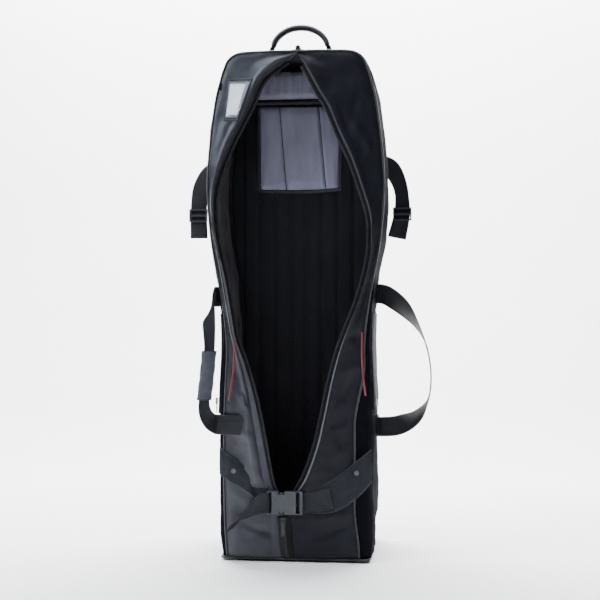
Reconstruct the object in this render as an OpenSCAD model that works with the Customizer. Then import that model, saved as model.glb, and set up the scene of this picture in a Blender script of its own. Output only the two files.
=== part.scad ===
// Soft travel case for a golf bag, standing upright on its base with its front zip pulled open.
// +Z runs up the case, the zip side faces -Y, and the origin is the middle of the base.

/* [Case body] */
// Height of the fabric body
body_h = 1260; // [1230:5:1290]
// Depth from the front panels to the back panel
body_d = 290; // [280:2:310]
// Thickness of the padded side walls
side_t = 8; // [6:0.5:9]
// Thickness of the front and back panels
panel_t = 6; // [5:0.5:7]
// Radius of the soft roll along each opened front edge
lapel_r = 8; // [6:0.5:9]
// Radius of the corded piping
piping_r = 3; // [2:0.5:3.5]

/* [Webbing] */
// Width of the strap webbing
web_w = 50; // [46:1:52]
// Thickness of the strap webbing
web_t = 2.6; // [2:0.1:3]

/* [Wheels] */
// Outside diameter of a wheel
wheel_d = 76; // [72:1:76]
// Width of a wheel
wheel_w = 24; // [22:1:24]
// Distance from the middle of the case to the middle of a wheel
wheel_x = 150; // [146:1:152]
// Diameter of the axle bolt
axle_d = 8; // [8:1:8]
// Outside diameter of the ball bearings
bearing_d = 22; // [22:1:22]
// Width of a ball bearing
bearing_w = 7; // [7:1:7]

/* [Head protection] */
// Length of the hanging flap
flap_h = 224; // [200:2:230]
// Half of the flap's width
flap_half = 108; // [100:1:109]

/* [Hidden] */
eps = 0.01;
front_y = -body_d / 2;
back_y = body_d / 2;
top_z = body_h;
zs = body_h / 1260;
axle_y = back_y - 19;
axle_z = wheel_d / 2 + 3;
well_half = wheel_w / 2 + 2;
cheek_t = 4;
housing_h = 118;
apex = [6, top_z - 8 * zs];
foot = [-29, 118];
pin_r = 2.5;
handle_y = -20;
handle_z = top_z + 11;
anchor_x = 77;
band_z = top_z - 108;
flap_y = -36;
buckle_z = 147;
buckle_h = 57;
buckle_t = 14;
buckle_y = front_y - 13;
rivet_r = 5;

// Half of the body's outline, from the base up to where the top corner begins.
side_pts = [[184, 10], [190, 110], [192, 250], [190, 390 * zs], [184, 540 * zs], [191, 670 * zs],
            [210, 780 * zs], [220, 880 * zs], [221, 950 * zs], [214, 1040 * zs], [201, 1137 * zs],
            [189, 1186 * zs]];
// The outline over the top, from the right corner to the middle.
crown_pts = [[189, 1186 * zs], [181, 1213 * zs], [170, 1238 * zs], [153, 1252 * zs],
             [128, 1258 * zs], [60, top_z], [0, top_z]];
// The opened front edges, from the top of the opening down to the start of the closed zip.
open_left = [apex, [-76, 1193 * zs], [-108, 1129 * zs], [-140, 1068 * zs], [-165, 1018 * zs],
             [-190, 955 * zs], [-202, 905 * zs], [-203, 850 * zs], [-196, 790 * zs],
             [-176, 700 * zs], [-160, 610 * zs], [-148, 545 * zs], [-128, 490 * zs],
             [-106, 415], [-88, 335], [-76, 270], [-60, 190], foot];
open_right = [apex, [27, 1215 * zs], [59, 1156 * zs], [82, 1118 * zs], [108, 1055 * zs],
              [140, 986 * zs], [168, 905 * zs], [184, 850 * zs], [187, 800 * zs],
              [182, 740 * zs], [157, 645 * zs], [113, 531 * zs], [89, 445], [71, 360],
              [51, 276], [20, 196], foot];

function reverse(v) = [for (i = [len(v) - 1 : -1 : 0]) v[i]];
function unit(v) = v / norm(v);
function part_of(v, a, b) = [for (i = [a : b]) v[i]];
function xyz(v) = [v[0], v[1], v[2]];
function blend4(a, b, c, d, t) =
    0.5 * (2 * b + (c - a) * t + (2 * a - 5 * b + 4 * c - d) * t * t
           + (3 * b - a - 3 * c + d) * t * t * t);
// A smooth line through the given points, with n steps from each to the next.
function curve(p, n) = concat(
    [for (i = [0 : len(p) - 2]) for (k = [0 : n - 1])
        blend4(p[max(i - 1, 0)], p[i], p[i + 1], p[min(i + 2, len(p) - 1)], k / n)],
    [p[len(p) - 1]]);
function tangent(p, i) = unit(p[min(i + 1, len(p) - 1)] - p[max(i - 1, 0)]);
// A flat line moved sideways by d, to the left of the way it runs.
function beside(p, d) = [for (i = [0 : len(p) - 1])
    let (t = tangent(p, i)) p[i] + d * [-t[1], t[0]]];
function mirrored(p) = [for (q = p) [-q[0], q[1]]];

side_line = curve(side_pts, 3);
crown_half = curve(crown_pts, 2);
crown_line = concat(crown_half, reverse(mirrored(part_of(crown_half, 0, len(crown_half) - 2))));
left_edge = curve(open_left, 3);
right_edge = curve(open_right, 3);

// A slab whose outline lies in the X-Z plane and which fills from y0 to y1.
module upright(y0, y1) {
    translate([0, y1, 0]) rotate([90, 0, 0]) linear_extrude(y1 - y0) children();
}

// A strip of wall between a line and the same line moved d to its left.
module strip(line, d) {
    polygon(concat(line, reverse(beside(line, d))));
}

// Webbing or cord swept along points [x, y, z, width direction x, y, z, width].
module sweep(path, thick, round_section = false) {
    sides = round_section ? 8 : 4;
    xyzs = [for (q = path) xyz(q)];
    rings = [for (i = [0 : len(path) - 1])
        let (t = tangent(xyzs, i),
             u = unit([path[i][3], path[i][4], path[i][5]]),
             v = unit(cross(t, u)),
             a = path[i][6] / 2,
             b = thick / 2)
        for (k = [0 : sides - 1])
            let (ang = 45 + k * 360 / sides,
                 cu = round_section ? a * cos(ang) : a * sign(cos(ang)),
                 cv = round_section ? b * sin(ang) : b * sign(sin(ang)))
            xyzs[i] + cu * u + cv * v];
    n = len(path);
    // Opposite walls are split along the same diagonal, so a twisted strap keeps its thickness.
    walls = [for (i = [0 : n - 2]) for (k = [0 : sides - 1])
        let (a = i * sides + k, b = i * sides + (k + 1) % sides)
        each k < sides / 2 ? [[a, a + sides, b], [b, a + sides, b + sides]]
                           : [[a, a + sides, b + sides], [a, b + sides, b]]];
    first_cap = [for (k = [1 : sides - 2]) [0, k, k + 1]];
    last_cap = [for (k = [1 : sides - 2])
        [(n - 1) * sides, (n - 1) * sides + k + 1, (n - 1) * sides + k]];
    polyhedron(concat(rings), concat(walls, first_cap, last_cap));
}

// A cord of one radius along a line in the X-Z plane at depth y.
module bead(line, y, r) {
    sweep([for (q = line) [q[0], y, q[1], 0, 1, 0, 2 * r]], 2 * r, true);
}

module block(lo, hi) {
    translate(lo) cube(hi - lo);
}

module along_x(x0, x1, r, y, z) {
    translate([x0, y, z]) rotate([0, 90, 0]) cylinder(h = x1 - x0, r = r, $fn = 48);
}

module both_sides() {
    children();
    mirror([1, 0, 0]) children();
}

// ---- Base and wheels ----

// Moulded tray under the back half of the base, turned up the back, with a well for each wheel.
module wheel_housing() color([0.09, 0.09, 0.1]) {
    difference() {
        union() {
            block([-182, -24, 0], [182, back_y + 3, 6]);
            block([-182, back_y - 3, 0], [182, back_y + 3, housing_h]);
            both_sides() block([wheel_x - well_half - cheek_t, axle_y - wheel_d / 2 - 6, 0],
                               [wheel_x + well_half + cheek_t, back_y + 3, wheel_d + 12]);
        }
        both_sides() {
            block([wheel_x - well_half, axle_y - wheel_d / 2 - 2, -1],
                  [wheel_x + well_half, back_y + 4, wheel_d + 8]);
            along_x(wheel_x - well_half - cheek_t - 1, wheel_x + well_half + cheek_t + 1,
                    axle_d / 2 + 0.05, axle_y, axle_z);
        }
    }
}

module base_board() color([0.2, 0.2, 0.21])
    block([-170, front_y + 8, 7], [170, axle_y - wheel_d / 2 - 7, 11]);

module front_feet() color([0.09, 0.09, 0.1])
    for (x = [-140, 140]) {
        translate([x, front_y + 30, 0]) cylinder(h = 3, r = 14, $fn = 48);
        translate([x, front_y + 30, 3]) cylinder(h = 7 - 3, r = 4, $fn = 32);
    }

module base_panel() color([0.1, 0.1, 0.12])
    difference() {
        block([-183, front_y + 1, 3], [183, -24.2, 6.8]);
        for (x = [-140, 140])
            translate([x, front_y + 30, 2]) cylinder(h = 6, r = 4, $fn = 32);
    }

module wheel_tyre(x) color([0.13, 0.13, 0.14])
    translate([x, axle_y, axle_z]) rotate([0, 90, 0]) rotate_extrude($fn = 96)
        polygon([[27, -wheel_w / 2 + 2], [33, -wheel_w / 2 + 1.5],
                 [36, -8], [wheel_d / 2 - 0.6, -5], [wheel_d / 2, 0], [wheel_d / 2 - 0.6, 5],
                 [36, 8], [33, wheel_w / 2 - 1.5], [27, wheel_w / 2 - 2]]);

module wheel_hub(x) color([0.5, 0.5, 0.52])
    difference() {
        union() {
            along_x(x - 12, x + 12, bearing_d / 2 + 3, axle_y, axle_z);
            difference() {
                along_x(x - wheel_w / 2 + 2, x + wheel_w / 2 - 2, 27 - eps, axle_y, axle_z);
                along_x(x - wheel_w / 2, x + wheel_w / 2, 22, axle_y, axle_z);
            }
            for (a = [0 : 60 : 300])
                translate([x, axle_y, axle_z]) rotate([a, 0, 0])
                    block([-6, -2, bearing_d / 2 + 1], [6, 2, 24]);
        }
        along_x(x - 13, x + 13, bearing_d / 2 - 2, axle_y, axle_z);
        for (s = [-1, 1])
            along_x(x + s * (12 - bearing_w / 2) - bearing_w / 2 - eps,
                    x + s * (12 - bearing_w / 2) + bearing_w / 2 + eps,
                    bearing_d / 2, axle_y, axle_z);
    }

// The two outer races of a wheel, with their shields.
module wheel_bearings(x) color([0.75, 0.76, 0.78])
    for (s = [-1, 1]) difference() {
        along_x(x + s * 8.5 - bearing_w / 2, x + s * 8.5 + bearing_w / 2,
                bearing_d / 2, axle_y, axle_z);
        along_x(x + s * 8.5 - bearing_w / 2 - 1, x + s * 8.5 + bearing_w / 2 + 1,
                6.05, axle_y, axle_z);
    }

// Inner races and the sleeve between them, clamped on the axle.
module axle_spacer(x) color([0.7, 0.71, 0.73])
    difference() {
        along_x(x - well_half, x + well_half, 6, axle_y, axle_z);
        along_x(x - well_half - 1, x + well_half + 1, axle_d / 2 + 0.02, axle_y, axle_z);
    }

module axle(x, s) color([0.6, 0.61, 0.63]) {
    outer = x + s * (well_half + cheek_t);
    inner = x - s * (well_half + cheek_t);
    along_x(min(outer, inner), max(outer, inner), axle_d / 2, axle_y, axle_z);
    along_x(min(outer, outer + s * 4), max(outer, outer + s * 4), 7, axle_y, axle_z);
    translate([s > 0 ? inner - 6 : inner, axle_y, axle_z]) rotate([0, 90, 0])
        cylinder(h = 6, r = 7.5, $fn = 6);
}

module wheel_left_tyre() wheel_tyre(-wheel_x);
module wheel_left_hub() wheel_hub(-wheel_x);
module wheel_left_bearings() wheel_bearings(-wheel_x);
module axle_left() axle(-wheel_x, -1);
module axle_left_spacer() axle_spacer(-wheel_x);
module wheel_right_tyre() wheel_tyre(wheel_x);
module wheel_right_hub() wheel_hub(wheel_x);
module wheel_right_bearings() wheel_bearings(wheel_x);
module axle_right() axle(wheel_x, 1);
module axle_right_spacer() axle_spacer(wheel_x);

// ---- Fabric body ----

body_outline = concat(side_line, part_of(crown_line, 1, len(crown_line) - 2),
                      reverse(mirrored(side_line)));

module back_panel() color([0.1, 0.1, 0.12])
    upright(back_y - panel_t, back_y) intersection() {
        polygon(body_outline);
        translate([-300, housing_h + 0.2]) square([600, 2000]);
    }

module back_stiffener() color([0.16, 0.16, 0.17])
    upright(back_y - panel_t - 3.2, back_y - panel_t - 0.2)
        translate([-165, wheel_d + 14]) square([330, 1080]);

module skid_rails() color([0.07, 0.07, 0.08])
    for (x = [-95, 95]) difference() {
        union() {
            block([x - 13, back_y, housing_h + 20], [x + 13, back_y + 7, 720]);
            block([x - 7, back_y + 7 - eps, housing_h + 34], [x + 7, back_y + 11, 706]);
        }
        for (z = [housing_h + 60 : 130 : 700])
            translate([x, back_y - 1, z]) rotate([-90, 0, 0]) {
                cylinder(h = 14, r = 3, $fn = 32);
                translate([0, 0, 9]) cylinder(h = 4, r = rivet_r + 0.4, $fn = 32);
            }
    }

module rail_rivets() color([0.35, 0.36, 0.38])
    for (x = [-95, 95]) for (z = [housing_h + 60 : 130 : 700])
        translate([x, back_y, z]) rotate([-90, 0, 0]) {
            cylinder(h = 8.1, r = 2.95, $fn = 32);
            translate([0, 0, 8.05]) cylinder(h = 2, r = rivet_r, $fn = 32);
        }

module back_pad() color([0.2, 0.2, 0.27])
    block([-172, back_y - panel_t - 14, wheel_d + 18], [172, back_y - panel_t - 3.4, top_z - 60]);

module side_wall_right() color([0.11, 0.11, 0.13])
    upright(front_y + panel_t + 0.1, back_y - panel_t - 0.1) strip(side_line, side_t);
module side_wall_left() mirror([1, 0, 0]) side_wall_right();

module top_panel() color([0.12, 0.12, 0.14])
    upright(front_y + panel_t + 0.1, back_y - panel_t - 0.1) strip(crown_line, side_t);

// A front panel: the outer line of one half of the body, then back down its opened edge.
module front_panel_left() color([0.25, 0.28, 0.33])
    upright(front_y, front_y + panel_t)
        polygon(concat(mirrored(side_line), mirrored(part_of(crown_half, 1, len(crown_half) - 1)),
                       left_edge, [[-18, 10]]));
module front_panel_right() color([0.1, 0.1, 0.14])
    upright(front_y, front_y + panel_t)
        polygon(concat(side_line, part_of(crown_half, 1, len(crown_half) - 2), [[6.5, top_z]],
                       [for (q = right_edge) q + [0.2, 0]], [[-17.5, 10]]));

module lapel(edge, s) {
    line = part_of(edge, 4, len(edge) - 5);
    bead(beside(line, s * 2), front_y - lapel_r - 0.1, lapel_r);
}
module lapel_left() color([0.32, 0.36, 0.42]) lapel(left_edge, -1);
module lapel_right() color([0.14, 0.15, 0.2]) lapel(right_edge, 1);

module front_piping() color([0.03, 0.03, 0.04])
    bead(body_outline, front_y - piping_r, piping_r);
module back_piping() color([0.03, 0.03, 0.04])
    bead([for (q = body_outline) if (q[1] > housing_h + 8) q], back_y + piping_r, piping_r);

// ---- Zip ----

module zip_tape_left() color([0.04, 0.04, 0.05])
    upright(front_y + 1, front_y + 3)
        strip(part_of(left_edge, 4, len(left_edge) - 3), 12);
module zip_tape_right() color([0.04, 0.04, 0.05])
    upright(front_y + 1, front_y + 3)
        strip(part_of(right_edge, 5, len(right_edge) - 3), -12);

// The two closed stretches of the zip: back over the top, and down to the base.
module zip_chains() color([0.04, 0.04, 0.05]) {
    block([apex[0] - 14, front_y + 1, top_z + 0.2], [apex[0] + 14, 40, top_z + 2.2]);
    upright(front_y - 2.2, front_y - 0.2)
        polygon([[-37, 112], [-21, 112], [-10, 12], [-26, 12]]);
}

// A slider: two plates joined by a web, with a bridge that carries the pull.
module slider_body() {
    block([-6, -11, 0], [6, 11, 2.5]);
    block([-6, -11, 4.5], [6, 11, 7]);
    block([-2.5, -11, 2], [2.5, 11, 5]);
    difference() {
        block([-2, -5, 6.9], [2, 5, 11.5]);
        translate([-3, 0, 9]) rotate([0, 90, 0]) cylinder(h = 6, r = 1.25, $fn = 32);
    }
}
// A pull lies back from the bridge, held by a pin through it.
module slider_pull(length) {
    translate([-4.5, 0, 9]) rotate([0, 90, 0]) cylinder(h = 9, r = 1.2, $fn = 32);
    for (x = [-4.5, 2.6]) block([x, -1.3, 7.6], [x + 1.9, 8, 10.4]);
    block([-4.5, 7, 7.6], [4.5, length, 10.4]);
}
module zip_slider_top() color([0.08, 0.08, 0.09])
    translate([apex[0], front_y + 13, top_z + 2.4]) slider_body();
module zip_pull_top() color([0.12, 0.12, 0.14])
    translate([apex[0], front_y + 13, top_z + 2.4]) slider_pull(36);
// The lower slider faces forward, so its pull hangs down over the closed zip.
module zip_slider_bottom() color([0.08, 0.08, 0.09])
    translate([-28.5, front_y - 2.4, 98]) rotate([90, 0, 0]) slider_body();
module zip_pull_bottom() color([0.12, 0.12, 0.14])
    translate([-28.5, front_y - 2.4, 98]) rotate([90, 0, 0]) mirror([0, 1, 0]) slider_pull(34);

// ---- Top handle ----

module handle_anchors() color([0.05, 0.05, 0.06])
    for (s = [-1, 1]) {
        x = s * anchor_x;
        block([x - 22, handle_y - 16, top_z + 0.2], [x + 22, handle_y + 16, top_z + 3]);
        for (e = [x - 11, x + 8])
            block([e, handle_y - 5, top_z + 2.9], [e + 3, handle_y + 5, handle_z + 5]);
        along_x(x - 9, x + 9, pin_r, handle_y, handle_z);
    }

// Webbing ends of the handle, each sewn in a loop round its pin.
module handle_webbing() color([0.06, 0.06, 0.07])
    for (s = [-1, 1]) difference() {
        union() {
            along_x(s * anchor_x - 7.6, s * anchor_x + 7.6, pin_r + 3, handle_y, handle_z);
            hull() {
                translate([s * anchor_x - 6, handle_y - 1.5, handle_z + 3]) cube([12, 3, 1]);
                translate([s * 72 - 6, handle_y - 1.5, handle_z + 24]) cube([12, 3, 1]);
            }
        }
        along_x(s * anchor_x - 12, s * anchor_x + 12, pin_r + 0.06, handle_y, handle_z);
    }

grip_pts = [[-71, 0], [-64, 17], [-48, 32], [-25, 42], [0, 45], [25, 42], [48, 32], [64, 17], [71, 0]];
module handle_grip() color([0.13, 0.13, 0.15])
    sweep([for (q = curve(grip_pts, 3))
              [q[0], handle_y, handle_z + 22 + q[1] * 1.12, 0, 1, 0, 24]], 15, true);

// ---- Duffel handles ----

right_loop = [[206.5, -32, 660, 0, 0, 1, web_w], [228, -37, 652, 0.3, 0.2, 1, web_w],
              [262, -40, 625, 0.5, 0.6, 0.6, web_w], [292, -40, 588, 0.25, 0.9, 0.25, web_w],
              [318, -40, 540, 0, 1, 0, web_w], [331, -40, 485, 0, 1, 0, web_w],
              [333, -40, 435, 0, 1, 0, web_w], [325, -40, 390, 0, 1, 0.1, web_w],
              [296, -40, 350, -0.35, 0.8, 0.45, web_w], [250, -38, 327, -0.15, 0.2, 1, web_w],
              [206.5, -32, 322, 0, 0, 1, web_w]];
left_loop = [[-199.5, -152, 652, 0, 0, 1, web_w], [-207, -160, 632, 0.2, 0, 1, 46],
             [-210, -172, 600, 0.8, 0.3, 0.6, 38], [-207, -184, 560, 1, 0.3, 0.2, 30],
             [-206, -190, 520, 1, 0.2, 0, 26], [-211, -194, 460, 1, 0.2, 0, 26],
             [-218, -194, 400, 1, 0.2, 0, 26], [-217, -188, 372, 1, 0.3, 0.2, 32],
             [-210, -174, 350, 0.6, 0.3, 0.9, 40], [-199.5, -152, 337, 0, 0, 1, web_w]];
module duffel_webbing_right() color([0.05, 0.05, 0.07]) sweep(curve(right_loop, 4), web_t);
module duffel_webbing_left() color([0.05, 0.05, 0.07]) sweep(curve(left_loop, 3), web_t);

// Padded grip that closes round the left handle.
module handle_wrap() color([0.08, 0.08, 0.1])
    sweep([for (q = curve(part_of(left_loop, 4, 6), 4))
              [q[0], q[1], q[2], q[3], q[4], q[5], 36]], 13, true);

// Sewn ends of the duffel handles on the side walls and the front panel.
module duffel_patches() color([0.05, 0.05, 0.07]) {
    for (z = [322, 660]) {
        block([193.4, -29, z - web_w / 2], [196.4, 34, z + web_w / 2]);
        block([193.4, -34, z - web_w / 2], [204.6, -29, z + web_w / 2]);
    }
    block([-197.6, front_y - 3, 652 - web_w / 2], [-194.6, -60, 652 + web_w / 2]);
    block([-195.5, front_y - 9, 337 - web_w / 2], [-123, front_y - 6.4, 337 + web_w / 2]);
}

// ---- Upper strap ends ----

upper_left = [[-222, 20, 984, 0, 0, 1, web_w], [-242, 20, 976, -0.45, 0, 0.9, 48],
              [-260, 21, 956, -0.85, 0, 0.5, 42], [-271, 23, 925, -1, 0, 0.1, 42],
              [-274, 24, 870, -1, 0, 0, 44], [-273, 24, 806, -1, 0, 0, 46]];
upper_right = [[222, 20, 990, 0, 0, 1, web_w], [236, 20, 978, 0.5, 0, 0.85, 48],
               [250, 21, 952, 0.85, 0, 0.5, 40], [259, 23, 915, 1, 0, 0.15, 36],
               [259, 24, 865, 1, 0, -0.1, 42], [246, 24, 804, 1, 0, -0.2, 48]];
module upper_webbing_left() color([0.05, 0.05, 0.06]) sweep(curve(upper_left, 4), web_t);
module upper_webbing_right() color([0.05, 0.05, 0.06]) sweep(curve(upper_right, 4), web_t);

// A two-slot adjuster: a frame and a middle bar, standing off the webbing.
module adjuster(half) {
    difference() {
        block([-half, -8, -17], [half, -2, 17]);
        for (z = [-13, 2.5]) block([4 - half, -9, z], [half - 4, -1, z + 10.5]);
    }
}
module upper_adjuster_left() color([0.07, 0.07, 0.08])
    translate([-274, 24, 866]) adjuster(24);
module upper_adjuster_right() color([0.07, 0.07, 0.08])
    translate([260, 24, 866]) adjuster(24);

// ---- Lower compression strap ----

wing_line = [[-188, 278], [-128, 234], [-108, 218], [-108, 178], [-156, 193], [-188, 214]];
module wing_left() color([0.2, 0.23, 0.27])
    upright(front_y - 8.6, front_y - 6.4) polygon(wing_line);
module wing_right() mirror([1, 0, 0]) wing_left();

module wing_rivets() color([0.2, 0.2, 0.22])
    for (x = [-152, 152])
        translate([x, front_y - 12.4, 222]) rotate([-90, 0, 0]) {
            cylinder(h = 1.8, r = 6, $fn = 32);
            translate([0, 0, 1.8]) cylinder(h = 2, r = 2.5, $fn = 32);
        }

// Webbing from the left wing, which runs on behind the male half.
module lower_webbing_left() color([0.05, 0.05, 0.06])
    sweep(curve([[-148, front_y - 10.4, 196, 0.35, 0, 1, web_w],
                 [-122, front_y - 10.2, 176, 0.35, 0, 1, web_w],
                 [-112, front_y - 10, 170, 0.3, 0, 1, web_w],
                 [-101, front_y - 7, 165, 0.15, 0, 1, web_w],
                 [-91, front_y - 4.2, 160, 0.1, 0, 1, web_w],
                 [-50, front_y - 3.9, buckle_z, 0, 0, 1, web_w]], 3), web_t);

// Webbing from the right wing, looped on the female half.
module lower_webbing_right() color([0.05, 0.05, 0.06])
    sweep(curve([[140, front_y - 10, 196, -0.35, 0, 1, web_w],
                 [100, front_y - 10.2, 170, -0.3, 0, 1, web_w],
                 [55, front_y - 11, 152, -0.1, 0, 1, web_w],
                 [21, front_y - 13, buckle_z, 0, 0, 1, web_w]], 3), web_t);

// Female half: a flat sleeve open to the left, with side windows for the two prongs.
module buckle_female() color([0.12, 0.13, 0.16])
    translate([0, buckle_y, buckle_z]) difference() {
        block([-47, -buckle_t / 2, -buckle_h / 2], [20, buckle_t / 2, buckle_h / 2]);
        block([-48, -4.3, -24.4], [-6, 4.3, 24.4]);
        for (s = [-1, 1])
            block([-40, -8, s > 0 ? 20 : -30], [-24, 8, s > 0 ? 30 : -20]);
        block([4, -8, -26], [13, 8, 26]);
    }

// Male half: a ladder slot, a middle guide and two prongs.
module buckle_male() color([0.12, 0.13, 0.16])
    translate([0, buckle_y, buckle_z]) {
        difference() {
            block([-68, -buckle_t / 2, -buckle_h / 2], [-47.4, buckle_t / 2, buckle_h / 2]);
            block([-64, -8, -26], [-56, 8, 26]);
        }
        block([-48, -3.5, -3.5], [-12, 3.5, 3.5]);
        for (s = [-1, 1]) {
            block([-48, -3.5, s > 0 ? 17 : -22], [-28, 3.5, s > 0 ? 22 : -17]);
            block([-38, -3.5, s > 0 ? 17 : -24], [-27, 3.5, s > 0 ? 24 : -17]);
        }
    }

// ---- Pockets, card window and inside ----

module side_pockets() color([0.11, 0.11, 0.13])
    both_sides() block([192.4, -112, 372], [198, 96, 618]);

module pocket_pull(x) {
    block([x - 2.5, -118, 384], [x + 2.5, -113, 400]);
    block([x - 1.2, -117, 362], [x + 1.2, -114, 384.2]);
}
module pocket_pull_left() color([0.55, 0.56, 0.58]) pocket_pull(-200.8);
module pocket_pull_right() color([0.55, 0.56, 0.58]) pocket_pull(200.8);

card_line = [[-171, 1100], [-144, 1100], [-121, 1176], [-161, 1178]];
window_line = [[-177, 1087], [-141, 1086], [-104, 1190], [-166, 1191]];
module id_window() color([0.3, 0.33, 0.38])
    difference() {
        upright(front_y - 2.6, front_y - 0.2) polygon(window_line);
        upright(front_y - 1.8, front_y - 0.9)
            polygon([[-173, 1097], [-141, 1097], [-110, 1200], [-163.5, 1200]]);
        upright(front_y - 3, front_y - 1.6)
            polygon([[-168, 1103], [-146, 1103], [-124, 1173], [-160, 1175]]);
    }
module id_card() color([0.95, 0.95, 0.93])
    upright(front_y - 1.6, front_y - 1.1) polygon(card_line);

// Quilted pad under the top, and the band that its flap hangs from.
module head_pad() color([0.36, 0.36, 0.43]) {
    block([-150, flap_y - 9, band_z + 2], [150, flap_y + 9, top_z - 26]);
    block([-150, flap_y - 3, band_z - 8], [150, flap_y + 3, band_z + 2]);
}

for_flap = [[-flap_half, 0], [flap_half, 0], [flap_half, -flap_h + 8], [60, -flap_h],
            [-60, -flap_h], [-flap_half, -flap_h + 4]];
module head_flap() color([0.36, 0.36, 0.43])
    translate([0, 0, band_z - 9]) upright(flap_y - 6, flap_y + 6) polygon(for_flap);

wheel_housing();
base_board();
front_feet();
base_panel();
wheel_left_tyre();
wheel_left_hub();
wheel_left_bearings();
axle_left();
axle_left_spacer();
wheel_right_tyre();
wheel_right_hub();
wheel_right_bearings();
axle_right();
axle_right_spacer();
back_panel();
back_stiffener();
skid_rails();
rail_rivets();
back_pad();
side_wall_left();
side_wall_right();
top_panel();
front_panel_left();
front_panel_right();
lapel_left();
lapel_right();
front_piping();
back_piping();
zip_tape_left();
zip_tape_right();
zip_chains();
zip_slider_top();
zip_pull_top();
zip_slider_bottom();
zip_pull_bottom();
handle_grip();
handle_webbing();
handle_anchors();
duffel_webbing_left();
duffel_webbing_right();
handle_wrap();
duffel_patches();
upper_webbing_left();
upper_adjuster_left();
upper_webbing_right();
upper_adjuster_right();
wing_left();
wing_right();
wing_rivets();
lower_webbing_left();
lower_webbing_right();
buckle_male();
buckle_female();
side_pockets();
pocket_pull_left();
pocket_pull_right();
id_window();
id_card();
head_pad();
head_flap();
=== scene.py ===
import math
import bmesh
import bpy
import numpy as np
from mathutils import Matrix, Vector, noise


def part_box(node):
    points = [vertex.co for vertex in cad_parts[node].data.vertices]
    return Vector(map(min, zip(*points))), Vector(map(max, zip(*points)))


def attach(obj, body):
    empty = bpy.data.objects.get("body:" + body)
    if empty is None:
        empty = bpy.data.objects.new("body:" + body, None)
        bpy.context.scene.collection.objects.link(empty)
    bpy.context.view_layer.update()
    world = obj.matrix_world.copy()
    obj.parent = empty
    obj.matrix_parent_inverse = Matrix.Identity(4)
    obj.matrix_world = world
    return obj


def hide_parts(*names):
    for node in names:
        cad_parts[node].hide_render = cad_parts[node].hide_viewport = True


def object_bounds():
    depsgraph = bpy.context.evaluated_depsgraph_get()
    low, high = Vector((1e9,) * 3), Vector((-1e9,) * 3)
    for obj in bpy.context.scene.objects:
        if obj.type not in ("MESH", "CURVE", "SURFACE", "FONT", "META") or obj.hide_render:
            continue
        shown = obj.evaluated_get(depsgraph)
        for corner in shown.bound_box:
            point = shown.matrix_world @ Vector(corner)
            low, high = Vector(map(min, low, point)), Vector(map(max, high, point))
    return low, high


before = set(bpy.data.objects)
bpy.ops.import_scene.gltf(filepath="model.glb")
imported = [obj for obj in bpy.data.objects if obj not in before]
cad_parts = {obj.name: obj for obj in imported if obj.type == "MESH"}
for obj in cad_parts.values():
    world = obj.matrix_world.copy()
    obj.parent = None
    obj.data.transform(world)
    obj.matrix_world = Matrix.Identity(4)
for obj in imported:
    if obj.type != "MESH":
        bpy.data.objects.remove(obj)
cad_low, cad_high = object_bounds()

# ---- Camera ----
# Stands level with the middle of the case and a little to its right, far enough back
# for the straight sides to stay nearly parallel.
camera_turn = math.radians(6)
camera_distance = 2.8
camera_aim = Vector((0.012, cad_low.y + 0.056, 0.644))
camera = bpy.data.objects.new("camera", bpy.data.cameras.new("camera"))
bpy.context.scene.collection.objects.link(camera)
bpy.context.scene.camera = camera
camera.location = camera_aim + camera_distance * Vector((math.sin(camera_turn), -math.cos(camera_turn), 0))
camera.rotation_euler = (math.radians(90), 0, camera_turn)
camera.data.lens = 36 * camera_distance / 1.476
camera.data.sensor_width = 36

# ---- Floor and lights ----
# A pale sweep of seamless paper that stands behind the case, a large soft light high on the
# left and a weak one in front, so that the left panels shine and the right ones stay dark.
# The left panel cloth also carries painted light in its colour, and the right one painted shade.


class Val:
    """A shader socket that can be used in arithmetic."""

    def __init__(self, mat, socket):
        self.mat = mat
        self.socket = socket

    def _do(self, operation, *values):
        return self.mat.node("ShaderNodeMath", {"operation": operation}, dict(enumerate(values)))

    def __add__(self, other):
        return self._do("ADD", self, other)

    def __radd__(self, other):
        return self._do("ADD", other, self)

    def __sub__(self, other):
        return self._do("SUBTRACT", self, other)

    def __rsub__(self, other):
        return self._do("SUBTRACT", other, self)

    def __mul__(self, other):
        return self._do("MULTIPLY", self, other)

    def __rmul__(self, other):
        return self._do("MULTIPLY", other, self)

    def __truediv__(self, other):
        return self._do("DIVIDE", self, other)

    def __lt__(self, other):
        return self._do("LESS_THAN", self, other)

    def frac(self):
        return self._do("FRACT", self)

    def floor(self):
        return self._do("FLOOR", self)

    def mod2(self):
        return self._do("FLOORED_MODULO", self, 2)

    def sin(self):
        return self._do("SINE", self)

    def abs(self):
        return self._do("ABSOLUTE", self)


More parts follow.
